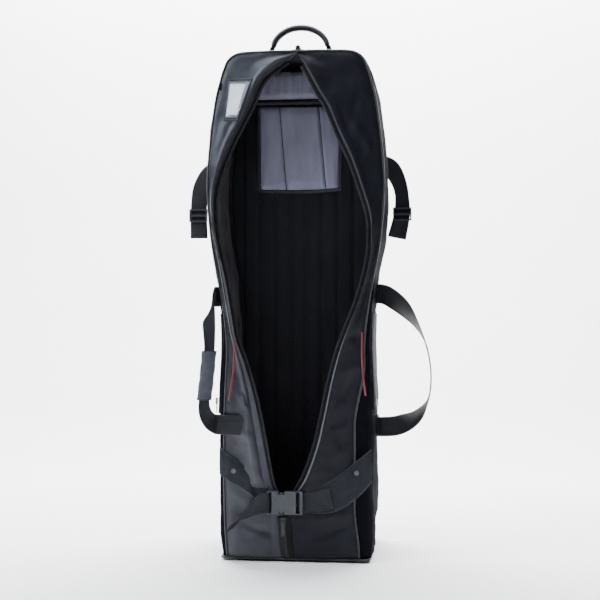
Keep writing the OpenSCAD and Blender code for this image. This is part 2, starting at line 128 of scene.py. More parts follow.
class Finish:
    """A Principled material whose nodes are made by one method."""

    def __init__(self, name, **constants):
        self.data = bpy.data.materials.new(name)
        self.data.use_nodes = True
        self.nodes = self.data.node_tree.nodes
        self.surface = self.nodes["Principled BSDF"]
        for key, value in constants.items():
            self.surface.inputs[key.replace("_", " ").title().replace("Ior", "IOR")].default_value = value

    def put(self, socket, value):
        if isinstance(value, Val):
            self.data.node_tree.links.new(value.socket, socket)
        else:
            socket.default_value = value

    def node(self, kind, settings=None, sockets=None, out=0):
        made = self.nodes.new(kind)
        for key, value in (settings or {}).items():
            setattr(made, key, value)
        for key, value in (sockets or {}).items():
            self.put(made.inputs[key], value)
        return Val(self, made.outputs[out])

    def place(self):
        return self.node("ShaderNodeTexCoord", out="Object")

    def axes(self, vector):
        split = self.nodes.new("ShaderNodeSeparateXYZ")
        self.put(split.inputs[0], vector)
        return [Val(self, output) for output in split.outputs]

    def uv(self):
        return self.axes(self.node("ShaderNodeUVMap", {"uv_map": "cut"}))[:2]

    def noise(self, scale, detail=3, vector=None):
        return self.node("ShaderNodeTexNoise", sockets={
            "Vector": vector or self.place(), "Scale": scale, "Detail": detail})

    def mix(self, factor, first, second):
        return self.node("ShaderNodeMix", {"data_type": "RGBA"}, {0: factor, 6: first, 7: second}, out=2)

    def set(self, **values):
        for key, value in values.items():
            self.put(self.surface.inputs[key.replace("_", " ").title()], value)
        return self

    def bump(self, height, distance, strength=1.0):
        return self.node("ShaderNodeBump", sockets={
            "Height": height, "Distance": distance, "Strength": strength})


def colour(red, green, blue):
    """An sRGB colour from 0 to 255 as the shader's linear one."""
    parts = [c / 255 for c in (red, green, blue)]
    return [c / 12.92 if c <= 0.04045 else ((c + 0.055) / 1.055) ** 2.4 for c in parts] + [1]


paper = Finish("backdrop_paper", roughness=0.9)
paper.set(base_color=paper.mix(paper.noise(2), colour(244, 244, 245), colour(250, 250, 250)))
bpy.ops.mesh.primitive_grid_add(x_subdivisions=1, y_subdivisions=40, size=12, location=(0, 0, -0.001))
floor = bpy.context.active_object
floor.name = "floor"
floor.data.materials.append(paper.data)
for vertex in floor.data.vertices:
    rise = max(0.0, vertex.co.y - 1.4)
    vertex.co.z += min(rise, 1.0) ** 2 * 1.2 + max(0.0, rise - 1.0) * 2.4
    vertex.co.y -= max(0.0, rise - 1.0) * 0.9
bpy.ops.object.shade_smooth()


def area_light(name, place, aim, size, power, tint=(1, 1, 1)):
    lamp = bpy.data.objects.new(name, bpy.data.lights.new(name, "AREA"))
    lamp.data.shape = "RECTANGLE"
    lamp.data.size, lamp.data.size_y = size
    lamp.data.energy = power
    lamp.data.color = tint
    lamp.location = place
    lamp.rotation_euler = (Vector(aim) - Vector(place)).to_track_quat("-Z", "Y").to_euler()
    bpy.context.scene.collection.objects.link(lamp)


area_light("key", (-2.4, -1.5, 2.7), (-0.1, -0.1, 0.95), (1.0, 1.6), 132, (0.84, 0.92, 1))
area_light("fill", (-0.9, -3.2, 1.7), (0.1, -0.1, 0.7), (1.2, 1.6), 5, (0.9, 0.94, 1))
area_light("top", (-0.2, -0.2, 3.4), (0, -0.1, 0), (2.2, 1.6), 95)
area_light("backdrop_glow", (0, 1.4, 3.4), (0, 3.2, 0.6), (5.0, 1.5), 720)
world = bpy.data.worlds.new("studio")
bpy.context.scene.world = world
world.use_nodes = True
world.node_tree.nodes["Background"].inputs["Color"].default_value = (0.92, 0.95, 1, 1)
world.node_tree.nodes["Background"].inputs["Strength"].default_value = 0.1

# ---- Body walls ----
# Woven polyester over thin foam, one long gusset from the base up one side, over the top and
# down the other. It is sewn to the front and back panels with corded piping.
mm = 0.001
front_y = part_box("front_panel_left")[0].y
back_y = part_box("back_panel")[1].y
top_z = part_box("top_panel")[1].z
side_points = [(184, 10), (190, 110), (192, 250), (190, 390), (184, 540), (191, 670), (210, 780),
               (220, 880), (221, 950), (214, 1040), (201, 1137), (189, 1186)]
crown_points = [(181, 1213), (170, 1238), (153, 1252), (128, 1258), (60, 1260), (0, 1260)]


def smooth_line(points, steps):
    """A Catmull-Rom curve through the points, with that many steps between neighbours."""
    p = np.asarray(points, float)
    line = []
    for i in range(len(p) - 1):
        a, b, c, d = p[max(i - 1, 0)], p[i], p[i + 1], p[min(i + 2, len(p) - 1)]
        for t in np.arange(steps) / steps:
            line.append(0.5 * (2 * b + (c - a) * t + (2 * a - 5 * b + 4 * c - d) * t * t
                               + (3 * b - a - 3 * c + d) * t ** 3))
    return np.array(line + [p[-1]])


def lengths(line):
    return np.concatenate([[0], np.cumsum(np.linalg.norm(np.diff(line, axis=0), axis=1))])


def evenly(line, count):
    """The same line as that many points, equally far apart."""
    run = lengths(line)
    wanted = np.linspace(0, run[-1], count)
    return np.stack([np.interp(wanted, run, line[:, k]) for k in range(line.shape[1])], axis=1)


def ease(value, low, high):
    """0 below low, 1 above high, and a smooth turn between."""
    t = np.clip((value - low) / (high - low), 0, 1)
    return t * t * (3 - 2 * t)


def flat_normals(line):
    """The direction to the left of the way that an X-Z line runs, at each point."""
    run = np.gradient(line, axis=0)
    run /= np.linalg.norm(run, axis=1)[:, None]
    return np.stack([-run[:, 1], run[:, 0]], axis=1)


def surface(name, rows, ring=False, uv=None, finish=(), picks=None, caps=False):
    """A mesh of rows of points, each joined to the next. picks gives each face's material."""
    rows = np.asarray(rows, float)
    count, across = rows.shape[:2]
    mesh = bpy.data.meshes.new(name)
    build = bmesh.new()
    verts = [[build.verts.new(point) for point in row] for row in rows]
    layer = build.loops.layers.uv.new("cut")
    if uv is None:
        down = np.concatenate([[0], np.cumsum(np.linalg.norm(np.diff(rows, axis=0), axis=2).mean(axis=1))])
        side = np.concatenate([[0], np.cumsum(np.linalg.norm(np.diff(rows, axis=1), axis=2).mean(axis=0))])
        uv = np.stack(np.meshgrid(side, down), axis=2)
    for i in range(count - 1):
        for j in range(across if ring else across - 1):
            k = (j + 1) % across
            corners = [(i, j), (i, k), (i + 1, k), (i + 1, j)]
            face = build.faces.new([verts[a][b] for a, b in corners])
            face.smooth = True
            face.material_index = int(picks[i][j]) if picks is not None else 0
            for loop, (a, b) in zip(face.loops, corners):
                loop[layer].uv = uv[a][b] if b or j < across - 1 else uv[a][across - 1]
    if caps:
        build.faces.new(reversed(verts[0]))
        build.faces.new(verts[-1])
    bmesh.ops.recalc_face_normals(build, faces=build.faces)
    build.to_mesh(mesh)
    build.free()
    obj = bpy.data.objects.new(name, mesh)
    bpy.context.scene.collection.objects.link(obj)
    for one in finish:
        mesh.materials.append(one.data)
    return obj


def apply_all(obj):
    """Applies the object's modifiers in order."""
    bpy.ops.object.select_all(action="DESELECT")
    bpy.context.view_layer.objects.active = obj
    obj.select_set(True)
    for modifier in list(obj.modifiers):
        bpy.ops.object.modifier_apply(modifier=modifier.name)


def body_cloth(name, dark, light, seam=0.009, sheen=0.25, rough=0.46, gloss=0.3):
    """Dense plain-weave polyester with a satin face and a row of topstitching beside its seam."""
    cloth = Finish(name, sheen_weight=sheen, sheen_roughness=0.4, specular_ior_level=gloss)
    u, v = cloth.uv()
    weave = (u * 5200).sin() * (v * 5200).sin()
    worn = cloth.noise(9, 4)
    fine = cloth.noise(420, 2)
    on_row = (u - seam).abs() < 0.0006
    stitch = on_row * ((v / 0.0042).frac() < 0.68)
    base = cloth.mix(worn * 0.8 + fine * 0.2, dark, light)
    base = cloth.mix(stitch * 0.55, base, [c * 0.35 for c in dark[:3]] + [1])
    soft = cloth.noise(34, 5)
    pull = ((u - seam).abs() < 0.0025) * -0.6
    height = weave * 0.05 + soft * 0.9 + pull + stitch * 0.5
    return cloth.set(base_color=base, roughness=rough - 0.08 * worn + 0.1 * fine,
                     normal=cloth.bump(height, 0.0016, 0.55))


# The walls are the same polyester as the front, given a darker colour: painted shade on walls that face away
# from the light.
wall_cloth_painted_shade = body_cloth("wall_cloth_painted_shade", colour(9, 9, 14), colour(18, 19, 26), sheen=0.0, rough=0.8, gloss=0.02)
lining = Finish("navy_lining", sheen_weight=0.15, specular_ior_level=0.3)
lining_u, lining_v = lining.uv()
lining_fold_and_painted_shade = lining.noise(16, 5)
lining_weave = (lining_u * 5000).sin() * (lining_v * 5000).sin()
# The lining is darker where its folds sink and lighter on their ridges: painted shade in the creases.
lining.set(base_color=lining.mix(lining_fold_and_painted_shade, colour(11, 11, 19), colour(25, 25, 38)),
           roughness=0.62 + 0.1 * lining.noise(300, 2),
           normal=lining.bump(lining_fold_and_painted_shade + lining_weave * 0.03, 0.004, 0.6))

half_outline = evenly(smooth_line(side_points + crown_points, 8), 130) * mm
left_half = half_outline * (-1, 1)
outline = np.concatenate([left_half, half_outline[::-1][1:]])
# The walls turn round to the front low down, where the filling spreads them, most of all on
# the right.
front_turn = 0.004 + 0.012 * ease(-outline[:, 1], -0.72, -0.5)
low_down = ease(-outline[:, 1], -0.5, -0.33) * (0.4 + 0.6 * ease(outline[:, 1], 0.0, 0.14))
front_turn += 0.03 * (outline[:, 0] > 0) * low_down
back_turn = 0.016
inward = -flat_normals(outline)


def crumple(x, y, z, size, depth, seed=0.0):
    """Soft creases: how far cloth lies out of its plane at a point."""
    return depth * noise.fractal(Vector((x / size + seed, y / size, z / size)), 0.9, 2.1, 4)


wall_rows = []
for (x, z), (nx, nz), turn in zip(outline, inward, front_turn):
    row = []
    for angle in np.linspace(0, math.pi / 2, 9):
        row.append((turn * (1 - math.sin(angle)), front_y + 0.001 + turn * (1 - math.cos(angle))))
    straight = back_y - front_y - turn - back_turn
    for t in np.linspace(0, 1, 30)[1:-1]:
        row.append((-0.004 * math.sin(math.pi * t), front_y + 0.001 + turn + t * straight))
    for angle in np.linspace(math.pi / 2, 0, 7):
        row.append((back_turn * (1 - math.sin(angle)), back_y - back_turn * (1 - math.cos(angle))))
    points = []
    for j, (inset, y) in enumerate(row):
        held = min(j, len(row) - 1 - j) / 6
        dent = crumple(x, y, z, 0.11, 0.0055) + crumple(x, y, z, 0.035, 0.0014, 7)
        dent *= min(1, held)
        points.append((x + nx * (inset + dent), y, z + nz * (inset + dent)))
    wall_rows.append(points)
walls = surface("body_walls", wall_rows, finish=(wall_cloth_painted_shade, lining))
thicken = walls.modifiers.new("foam", "SOLIDIFY")
thicken.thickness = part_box("side_wall_right")[1].x - 0.213
thicken.offset = -1
thicken.material_offset = 1
apply_all(walls)
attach(walls, "case")
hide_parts("side_wall_left", "side_wall_right", "top_panel")

# ---- Front panels ----
# Two halves of the front, cut from the same polyester and lined. Each runs from the piped seam
# to the zip, where the opened edge rolls outwards and shows a strip of its grey lining. The
# left half is coloured lighter than the right: painted light on the left, painted shade on the right.
open_left = [(6, 1252), (-76, 1193), (-108, 1129), (-140, 1068), (-165, 1018), (-190, 955),
             (-202, 905), (-203, 850), (-196, 790), (-176, 700), (-160, 610), (-148, 545),
             (-128, 490), (-106, 415), (-88, 335), (-76, 270), (-60, 190), (-29, 118), (-18, 10)]
open_right = [(6, 1252), (27, 1215), (59, 1156), (82, 1118), (108, 1055), (140, 986), (168, 905),
              (184, 850), (187, 800), (182, 740), (157, 645), (113, 531), (89, 445), (71, 360),
              (51, 276), (20, 196), (-29, 118), (-18, 10)]
seam_line = outline + inward * front_turn[:, None]
seam_half = len(half_outline)
# One cloth in two colours: the left panel's lighter colour is painted light, the right panel's darker colour
# is painted shade.
left_cloth_painted_light = body_cloth("left_panel_cloth_painted_light", colour(20, 22, 31), colour(36, 40, 52),
                        seam=0.008, sheen=0.24, rough=0.42, gloss=0.48)
right_cloth_painted_shade = body_cloth("right_panel_cloth_painted_shade", colour(10, 10, 18), colour(19, 20, 31),
                         seam=0.008, sheen=0.05, gloss=0.17)
facing = Finish("grey_facing", sheen_weight=0.3, specular_ior_level=0.4)
facing_v = facing.uv()[1]
facing.set(base_color=facing.mix(facing.noise(30, 4), colour(48, 50, 60), colour(84, 87, 99)), roughness=0.6,
           normal=facing.bump((facing_v * 2400).sin() * 0.3 + facing.noise(60, 4), 0.0015, 0.5))


# The buckle lies here, and draws back to the left when it is released.
buckle_rest = ((-0.1, 0.115), (0.012, 0.179))


def front_panel(name, seam, edge, side, fold_back, ridge, rounds, cloth):
    """A lined panel between its seam and its zip edge, which rises to a rolled fold on the way."""
    count = 190
    seam = evenly(seam, count)
    edge = evenly(edge, count)
    rows = []
    for k in range(count):
        (sx, sz), (ex, ez) = seam[k], edge[k]
        wide = math.hypot(sx - ex, sz - ez)
        shut = float(ease(np.array(ez), 0.1, 0.19) * min(1, wide / 0.05))
        fold = min(fold_back(ez), 0.3 * wide)
        high = ridge(ez) * shut + 0.004 * (1 - shut)
        swell = 0.006 * min(1, wide / 0.1)
        profile = smooth_line([(wide, 0), (0.86 * wide, swell * 0.7), (0.62 * wide, swell),
                               (fold + 0.2 * (wide - fold), max(0.7 * high, swell * 0.9)),
                               (fold + 0.06 * wide, 0.94 * high), (fold, high),
                               (fold * 0.72, high * 0.9), (fold * 0.4, high * 0.36),
                               (0, -0.0012 * shut)], 5)
        points = []
        for away, out in profile:
            t = away / wide
            x, z = ex + (sx - ex) * t, ez + (sz - ez) * t
            free = math.sin(math.pi * min(1, max(0, t))) ** 0.5
            out += free * (crumple(x, 0, z, 0.075, 0.0042, side) + crumple(x, 0, z, 0.028, 0.0013, side + 3))
            for fx, fz, tx, tz, spread, lift in rounds:
                line = np.array((tx - fx, tz - fz)) * mm
                off = np.array((x, z)) - np.array((fx, fz)) * mm
                along = float(np.clip(off @ line / (line @ line), 0, 1))
                gap = float(np.linalg.norm(off - along * line))
                across_fold = math.exp(-(gap / (spread * mm)) ** 2)
                along_fold = math.sin(math.pi * (0.08 + 0.84 * along))
                out += free * lift * mm * across_fold * along_fold
            (rest_left, rest_low), (rest_right, rest_high) = buckle_rest
            beside = max(rest_left - x, x - rest_right, rest_low - z, z - rest_high, 0)
            out = min(out, 0.0032 + 0.6 * beside)
            points.append((x, front_y - out, z))
        inner = [(p[0], front_y + 0.0045, p[2]) for p in points[::-1]]
        rows.append(points + inner)
    front = len(profile)
    rows = np.array(rows)
    picks = np.zeros(rows.shape[:2], int)
    picks[:, front:] = 2
    picks[edge[:, 1] > 0.74, front - 8:front] = 2
    picks[edge[:, 1] <= 0.74, front - 8:front] = 1
    down = np.concatenate([[0], np.cumsum(np.linalg.norm(np.diff(seam, axis=0), axis=1))])
    cloth_run = np.cumsum(np.linalg.norm(np.diff(rows, axis=1), axis=2), axis=1)
    run = np.concatenate([np.zeros((count, 1)), cloth_run], axis=1)
    uv = np.stack([run, np.repeat(down[:, None], rows.shape[1], axis=1)], axis=2)
    return surface(name, rows, ring=True, uv=uv, finish=(cloth, facing, lining), picks=picks, caps=True)


left_folds = [(-136, 1087, -172, 1070, 6, -3), (-205, 1000, -150, 1120, 9, 3), (-202, 700, -150, 470, 12, 4),
              (-186, 560, -128, 400, 9, -4), (-150, 420, -112, 372, 5, 5), (-132, 430, -116, 385, 4, -4),
              (-180, 330, -95, 300, 10, 4), (-170, 175, -60, 120, 14, 4), (-120, 90, -40, 60, 9, -3),
              (-196, 860, -214, 700, 6, 3)]
right_folds = [(188, 1010, 120, 1120, 10, 4), (196, 700, 150, 560, 10, 4), (160, 470, 110, 400, 9, -4),
               (176, 360, 90, 320, 10, 4), (150, 120, 40, 105, 9, 5), (140, 95, 60, 60, 6, -5),
               (90, 130, 30, 60, 8, 4), (40, 180, 0, 100, 6, 4)]
panel_left = front_panel("front_panel_cloth_left", seam_line[:seam_half][::-1],
                         evenly(smooth_line(open_left, 5), 190) * mm, 11,
                         lambda z: 0.012 + 0.016 * ease(-z, -0.95, -0.7), lambda z: 0.0165,
                         left_folds, left_cloth_painted_light)
panel_right = front_panel("front_panel_cloth_right", seam_line[seam_half - 1:],
                          evenly(smooth_line(open_right, 5), 190) * mm, 29,
                          lambda z: 0.009, lambda z: 0.0155, right_folds, right_cloth_painted_shade)
for panel, side in ((panel_left, "left"), (panel_right, "right")):
    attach(panel, "case")
    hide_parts("front_panel_" + side, "lapel_" + side)

# ---- Back panel ----
# One flat panel of the same cloth with a foam core. Its middle is held down by the skid rails
# and it swells a little towards the piped seam.
back_rows = []
back_line = evenly(outline + inward * back_turn, 200)
for k in np.linspace(1, 0, 31):
    ring = []
    for x, z in back_line:
        out = 0.004 * (1 - k ** 6) * min(1, (1 - k) * 6)
        px, pz = k * x, 0.62 + k * (z - 0.62)
        out += crumple(px, 1, pz, 0.09, 0.002) * min(1, (1 - k) * 5)
        ring.append((px, back_y - 0.002 + min(out, 0.005), pz))
    back_rows.append(ring)
back_cloth = body_cloth("back_panel_cloth", colour(15, 15, 22), colour(27, 28, 37), seam=5, sheen=0.1)
back_skin = surface("back_panel_skin", back_rows, ring=True, finish=(back_cloth,))
middle = back_skin.modifiers.new("middle", "WELD")
middle.merge_threshold = 0.00001
thicken = back_skin.modifiers.new("foam", "SOLIDIFY")
thicken.thickness = 0.005
thicken.offset = -1
apply_all(back_skin)
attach(back_skin, "case")
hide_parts("back_panel")

# ---- Piping ----
# Cotton cord wrapped in a bias strip of black cloth and caught in the seams round the front
# and the back. Its wrap is stitched down and puckers a little along its length.
piping_radius = 0.0027
piping_finish = Finish("piping_wrap", coat_weight=0.15, coat_roughness=0.4, specular_ior_level=0.5)
piping_u, piping_v = piping_finish.uv()
piping_rib = (piping_v * 2500 + piping_u * 900).sin()
piping_tone = piping_finish.noise(60)
piping_finish.set(base_color=piping_finish.mix(piping_tone, colour(10, 10, 14), colour(26, 26, 33)),
                  roughness=0.45,
                  normal=piping_finish.bump(piping_rib * 0.4 + piping_finish.noise(200), 0.0006, 0.7))


def tube(name, line, radius, finish, around=10):
    """A round cord along a line of 3-D points, closed at both ends."""
    line = np.asarray(line, float)
    run = np.gradient(line, axis=0)
    run /= np.linalg.norm(run, axis=1)[:, None]
    side = np.cross(run[0], (0.0, 1.0, 0.0))
    if np.linalg.norm(side) < 0.1:
        side = np.cross(run[0], (0.0, 0.0, 1.0))
    rows = []
    for point, along in zip(line, run):
        side = side - along * (side @ along)
        side /= np.linalg.norm(side)
        up = np.cross(along, side)
        rows.append([point + radius * (math.cos(a) * side + math.sin(a) * up)
                     for a in np.arange(around) * 2 * math.pi / around])
    return surface(name, rows, ring=True, finish=(finish,), caps=True)


front_seam = [(x, front_y - 0.0005, z) for x, z in seam_line - inward * 0.001]
front_cord = tube("front_piping_cord", front_seam, piping_radius, piping_finish)
above_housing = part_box("wheel_housing")[1].z + 0.006
back_seam = [(x, back_y + 0.001, z) for x, z in outline + inward * (back_turn - 0.002) if z > above_housing]
back_cord = tube("back_piping_cord", back_seam, piping_radius, piping_finish)
for cord_piece, node in ((front_cord, "front_piping"), (back_cord, "back_piping")):
    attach(cord_piece, "case")
    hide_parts(node)

# ---- Front zip ----
# A coil zip on woven tape, sewn along both opened edges. Below the lower slider and behind
# the upper one its two halves are closed.
tape_width = 0.011
tape_y = front_y + 0.0015
tape_finish = Finish("zip_tape", specular_ior_level=0.3)
tape_u, tape_v = tape_finish.uv()
tape_finish.set(base_color=tape_finish.mix(tape_finish.noise(200), colour(9, 9, 12), colour(24, 24, 30)),
                roughness=0.7,
                normal=tape_finish.bump((tape_u * 3000).sin() * (tape_v * 3000).sin(), 0.0004, 0.6))
coil_finish = Finish("zip_coil", roughness=0.32, specular_ior_level=0.6)
coil_finish.set(base_color=coil_finish.mix(coil_finish.noise(300), colour(12, 12, 15), colour(34, 34, 40)))


def flat_strip(name, line, offset, width, thick, y, finish):
    """A thin tape that follows an X-Z line, from offset to offset + width on its left."""
    across = flat_normals(line)
    rows = []
    for (x, z), (nx, nz) in zip(line, across):
        near, far = offset, offset + width
        rows.append([(x + nx * near, y, z + nz * near), (x + nx * far, y, z + nz * far),
                     (x + nx * far, y + thick, z + nz * far), (x + nx * near, y + thick, z + nz * near)])
    return surface(name, rows, ring=True, finish=(finish,), caps=True)


def teeth(name, line, offset, width, depth, y, pitch, finish):
    """The turns of a zip coil: a row of small rounded blocks across a line."""
    places = evenly(line, int(lengths(line)[-1] / pitch))
    across = flat_normals(places)
    mesh = bpy.data.meshes.new(name)
    build = bmesh.new()
    for (x, z), (nx, nz) in zip(places, across):
        ux, uz = nz * pitch * 0.32, -nx * pitch * 0.32
        corners = []
        for level, lean in ((0, 0.75), (0.5, 1.0), (1.0, 0.6)):
            ring = []
            for a, b in ((0, -1), (1, -1), (1, 1), (0, 1)):
                reach = offset + width * (0.5 + (a - 0.5) * lean)
                ring.append(build.verts.new((x + nx * reach + ux * b * lean, y - depth * level,
                                             z + nz * reach + uz * b * lean)))
            corners.append(ring)
        for low, high in zip(corners, corners[1:]):
            for i in range(4):
                build.faces.new((low[i], low[(i + 1) % 4], high[(i + 1) % 4], high[i]))
        build.faces.new(corners[0][::-1])
        build.faces.new(corners[-1])
    bmesh.ops.recalc_face_normals(build, faces=build.faces)
    for face in build.faces:
        face.smooth = True
    build.to_mesh(mesh)
    build.free()
    obj = bpy.data.objects.new(name, mesh)
    bpy.context.scene.collection.objects.link(obj)
    mesh.materials.append(finish.data)
    return obj


for side, points, toward in (("left", open_left, 1), ("right", open_right, -1)):
    line = evenly(smooth_line(points[:-1], 6), 220)[6:-3] * mm
    tape = flat_strip("zip_tape_" + side + "_cloth", line, 0 if toward > 0 else -tape_width,
                      tape_width, 0.001, tape_y, tape_finish)
    coil = teeth("zip_coil_" + side, line, (tape_width - 0.004) * toward, 0.0045 * toward,
                 0.0022, tape_y + 0.0002, 0.0026, coil_finish)
    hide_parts("zip_tape_" + side)
    for piece in (tape, coil):
        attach(piece, "case")

closed_line = evenly(np.array([(-29, 112), (-18, 12)]) * mm, 30)
closed_tape = flat_strip("closed_zip_tape", closed_line, -0.015, 0.03, 0.0012, front_y - 0.0062, tape_finish)
closed_coil = teeth("closed_zip_coil", closed_line, -0.0032, 0.0064, 0.0016,
                    front_y - 0.0060, 0.0022, coil_finish)
top_rows = []
for y in np.linspace(front_y + 0.002, 0.04, 30):
    top_rows.append([(-0.008, y, top_z + 0.0002), (0.02, y, top_z + 0.0002),
                     (0.02, y, top_z + 0.0014), (-0.008, y, top_z + 0.0014)])
top_tape = surface("top_zip_tape", top_rows, ring=True, finish=(tape_finish,), caps=True)
top_coil = teeth("top_zip_coil", np.array([(0.006, front_y + 0.002), (0.006, 0.04)]), -0.0032, 0.0064, 0.0016,
                 0, 0.0022, coil_finish)
for vertex in top_coil.data.vertices:
    x, y, z = vertex.co
    vertex.co = (x, z, top_z + 0.0013 - y)
for piece in (closed_tape, closed_coil, top_tape, top_coil):
    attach(piece, "case")
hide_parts("zip_chains")

# ---- Inside back pad ----
# Quilted foam sheet in navy lining, fixed to the stiffened back. Long channels are sewn from
# top to bottom and a bound edge runs round it.
quilt = Finish("navy_quilt", sheen_weight=0.2, specular_ior_level=0.35)
quilt_u, quilt_v = quilt.uv()
quilt_weave = (quilt_u * 5000).sin() * (quilt_v * 5000).sin()
quilt.set(base_color=quilt.mix(quilt.noise(12, 4), colour(12, 12, 21), colour(26, 26, 40)),
          roughness=0.6,
          normal=quilt.bump(quilt_weave * 0.1 + quilt.noise(40, 5), 0.002, 0.6))


def soft_block(name, low, high, finish, step=0.012, round_off=0.006):
    """A closed padded block with rounded edges, cut into small faces for cloth."""
    size = Vector(high) - Vector(low)
    bpy.ops.object.select_all(action="DESELECT")
    bpy.ops.mesh.primitive_cube_add(size=1)
    obj = bpy.context.active_object
    obj.name = name
    for vertex in obj.data.vertices:
        vertex.co = [low[k] + (vertex.co[k] + 0.5) * size[k] for k in range(3)]
    bevel = obj.modifiers.new("edge", "BEVEL")
    bevel.width = min(round_off, min(size) * 0.45)
    bevel.segments = 3
    remesh = obj.modifiers.new("even", "REMESH")
    remesh.mode = "VOXEL"
    remesh.voxel_size = step
    apply_all(obj)
    for face in obj.data.polygons:
        face.use_smooth = True
    obj.data.materials.append(finish.data)
    return obj


def inflate(obj, furthest, pressure=4.0, frames=20):
    """Lets cloth swell under a small pressure, held to that much movement."""
    start = np.array([v.co for v in obj.data.vertices])
    cloth = obj.modifiers.new("cloth", "CLOTH")
    cloth.settings.use_pressure = True
    cloth.settings.uniform_pressure_force = pressure
    cloth.settings.effector_weights.gravity = 0
    cloth.settings.quality = 6
    cloth.settings.mass = 0.15
    cloth.settings.tension_stiffness = 30
    cloth.settings.bending_stiffness = 0.6
    cloth.point_cache.frame_start = 1
    cloth.point_cache.frame_end = frames
    for step in range(1, frames + 1):
        bpy.context.scene.frame_set(step)
    apply_all(obj)
    bpy.context.scene.frame_set(1)
    end = np.array([v.co for v in obj.data.vertices])
    moved = end - start
    reach = np.linalg.norm(moved, axis=1)[:, None]
    moved *= np.minimum(1, furthest / np.maximum(reach, 1e-9))
    for vertex, place in zip(obj.data.vertices, start + moved):
        vertex.co = place


def project_cut(obj, flat=(0, 2)):
    """A UV map in metres, taken straight from two axes."""
    layer = obj.data.uv_layers.new(name="cut")
    for loop in obj.data.loops:
        place = obj.data.vertices[loop.vertex_index].co
        layer.data[loop.index].uv = (place[flat[0]], place[flat[1]])


def refine(obj):
    """One level of subdivision, applied."""
    level = obj.modifiers.new("smooth", "SUBSURF")
    level.levels = level.render_levels = 1
    apply_all(obj)


def sew(obj, seams, width, depth, side):
    """Presses sewn lines into the faces of a pad that look along side * Y."""
    faces = [max(0.0, side * vertex.normal.y) for vertex in obj.data.vertices]
    for vertex, facing_side in zip(obj.data.vertices, faces):
        x, y, z = vertex.co
        press = max(math.exp(-((x - np.interp(z, line[0], line[1])) / width) ** 2) for line in seams)
        vertex.co.y = y - side * depth * press * facing_side


pad_low, pad_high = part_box("back_pad")
back_pad = soft_block("back_quilt", pad_low + Vector((0.002, 0.002, 0.002)),
                      pad_high - Vector((0.002, 0, 0.002)), quilt, 0.008)
inflate(back_pad, 0.004)
channels = [((0, 2), (x, x)) for x in np.linspace(-0.129, 0.129, 7)]
refine(back_pad)
sew(back_pad, channels, 0.006, 0.005, -1)
project_cut(back_pad)
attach(back_pad, "case")
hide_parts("back_pad")

# ---- Head pad and flap ----
# A grey quilted pad under the lid keeps club heads from the cloth. A flap of the same quilt
# hangs from its dark binding, with two sewn lines down it and a bound hem.
head_quilt = Finish("grey_quilt", sheen_weight=0.35, sheen_roughness=0.5, specular_ior_level=0.35)
head_u, head_v = head_quilt.uv()
pucker_and_painted_shade = head_quilt.noise(1, 4, head_quilt.node("ShaderNodeMapping", None, {
    "Vector": head_quilt.place(), "Scale": (30, 14, 7)}))
weave = (head_u * 4200).sin() * (head_v * 4200).sin()
# The grey is darker in the hollows of the puckers and lighter on their crests: painted shade that follows the
# bump.
head_quilt.set(base_color=head_quilt.mix(pucker_and_painted_shade, colour(82, 82, 98), colour(126, 126, 146)),
               roughness=0.58, normal=head_quilt.bump(pucker_and_painted_shade + weave * 0.08, 0.003, 0.6))
binding = Finish("bias_binding", specular_ior_level=0.4)
binding_u, binding_v = binding.uv()
binding_twill = (binding_u * 2800 + binding_v * 2800).sin()
binding.set(base_color=binding.mix(binding.noise(80), colour(17, 17, 26), colour(32, 32, 46)),
            roughness=0.55,
            normal=binding.bump(binding_twill * 0.4 + binding.noise(90), 0.001, 0.6))
pad_low, pad_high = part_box("head_pad")
band_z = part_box("head_flap")[1].z
head_pad = soft_block("head_pad_quilt", (pad_low.x, pad_low.y, band_z + 0.009), pad_high,
                      head_quilt, 0.006, 0.008)
inflate(head_pad, 0.005)
refine(head_pad)
pad_seams = [((1.0, 1.3), (x, x * 0.94)) for x in (-0.112, -0.075, -0.036, 0.0, 0.038, 0.077, 0.114)]
sew(head_pad, pad_seams, 0.004, 0.0035, -1)
project_cut(head_pad)
for vertex in head_pad.data.vertices:
    x, y, z = vertex.co
    ripple = math.sin(x * 260 + 2 * math.sin(z * 30))
    vertex.co.y += 0.0022 * ripple * ease(np.array(z), band_z, band_z + 0.05)
flap_low, flap_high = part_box("head_flap")
flap = soft_block("head_flap_quilt", flap_low, flap_high, head_quilt, 0.005, 0.005)
inflate(flap, 0.005)
refine(flap)
flap_seams = [((flap_low.z, flap_high.z), (-0.034, -0.052)), ((flap_low.z, flap_high.z), (0.070, 0.048))]
sew(flap, flap_seams, 0.0032, 0.0038, -1)
sew(flap, flap_seams, 0.0032, 0.0038, 1)
flap_tall = flap_high.z - flap_low.z
for vertex in flap.data.vertices:
    x, y, z = vertex.co
    drop = (flap_high.z - z) / flap_tall
    vertex.co.z += drop * 0.006 * (x / 0.108) * (x / 0.108) * (1 if x > 0 else 0.6)
    vertex.co.x *= 1 - 0.03 * drop
    vertex.co.y += 0.0012 * math.sin(x * 95) * drop
project_cut(flap)
seam_cords = []
for name, (heights, places) in zip(("left", "right"), flap_seams):
    line = []
    for t in np.linspace(0, 1, 40):
        z = heights[0] + 0.006 + t * (flap_tall - 0.012)
        x = float(np.interp(z, heights, places)) * (1 - 0.03 * (flap_high.z - z) / flap_tall)
        hit = flap.ray_cast(Vector((x, flap_low.y - 0.1, z)), Vector((0, 1, 0)))
        line.append((x, hit[1].y - 0.0002, z))
    seam_cords.append(tube("flap_seam_" + name, line, 0.0013, binding, 8))

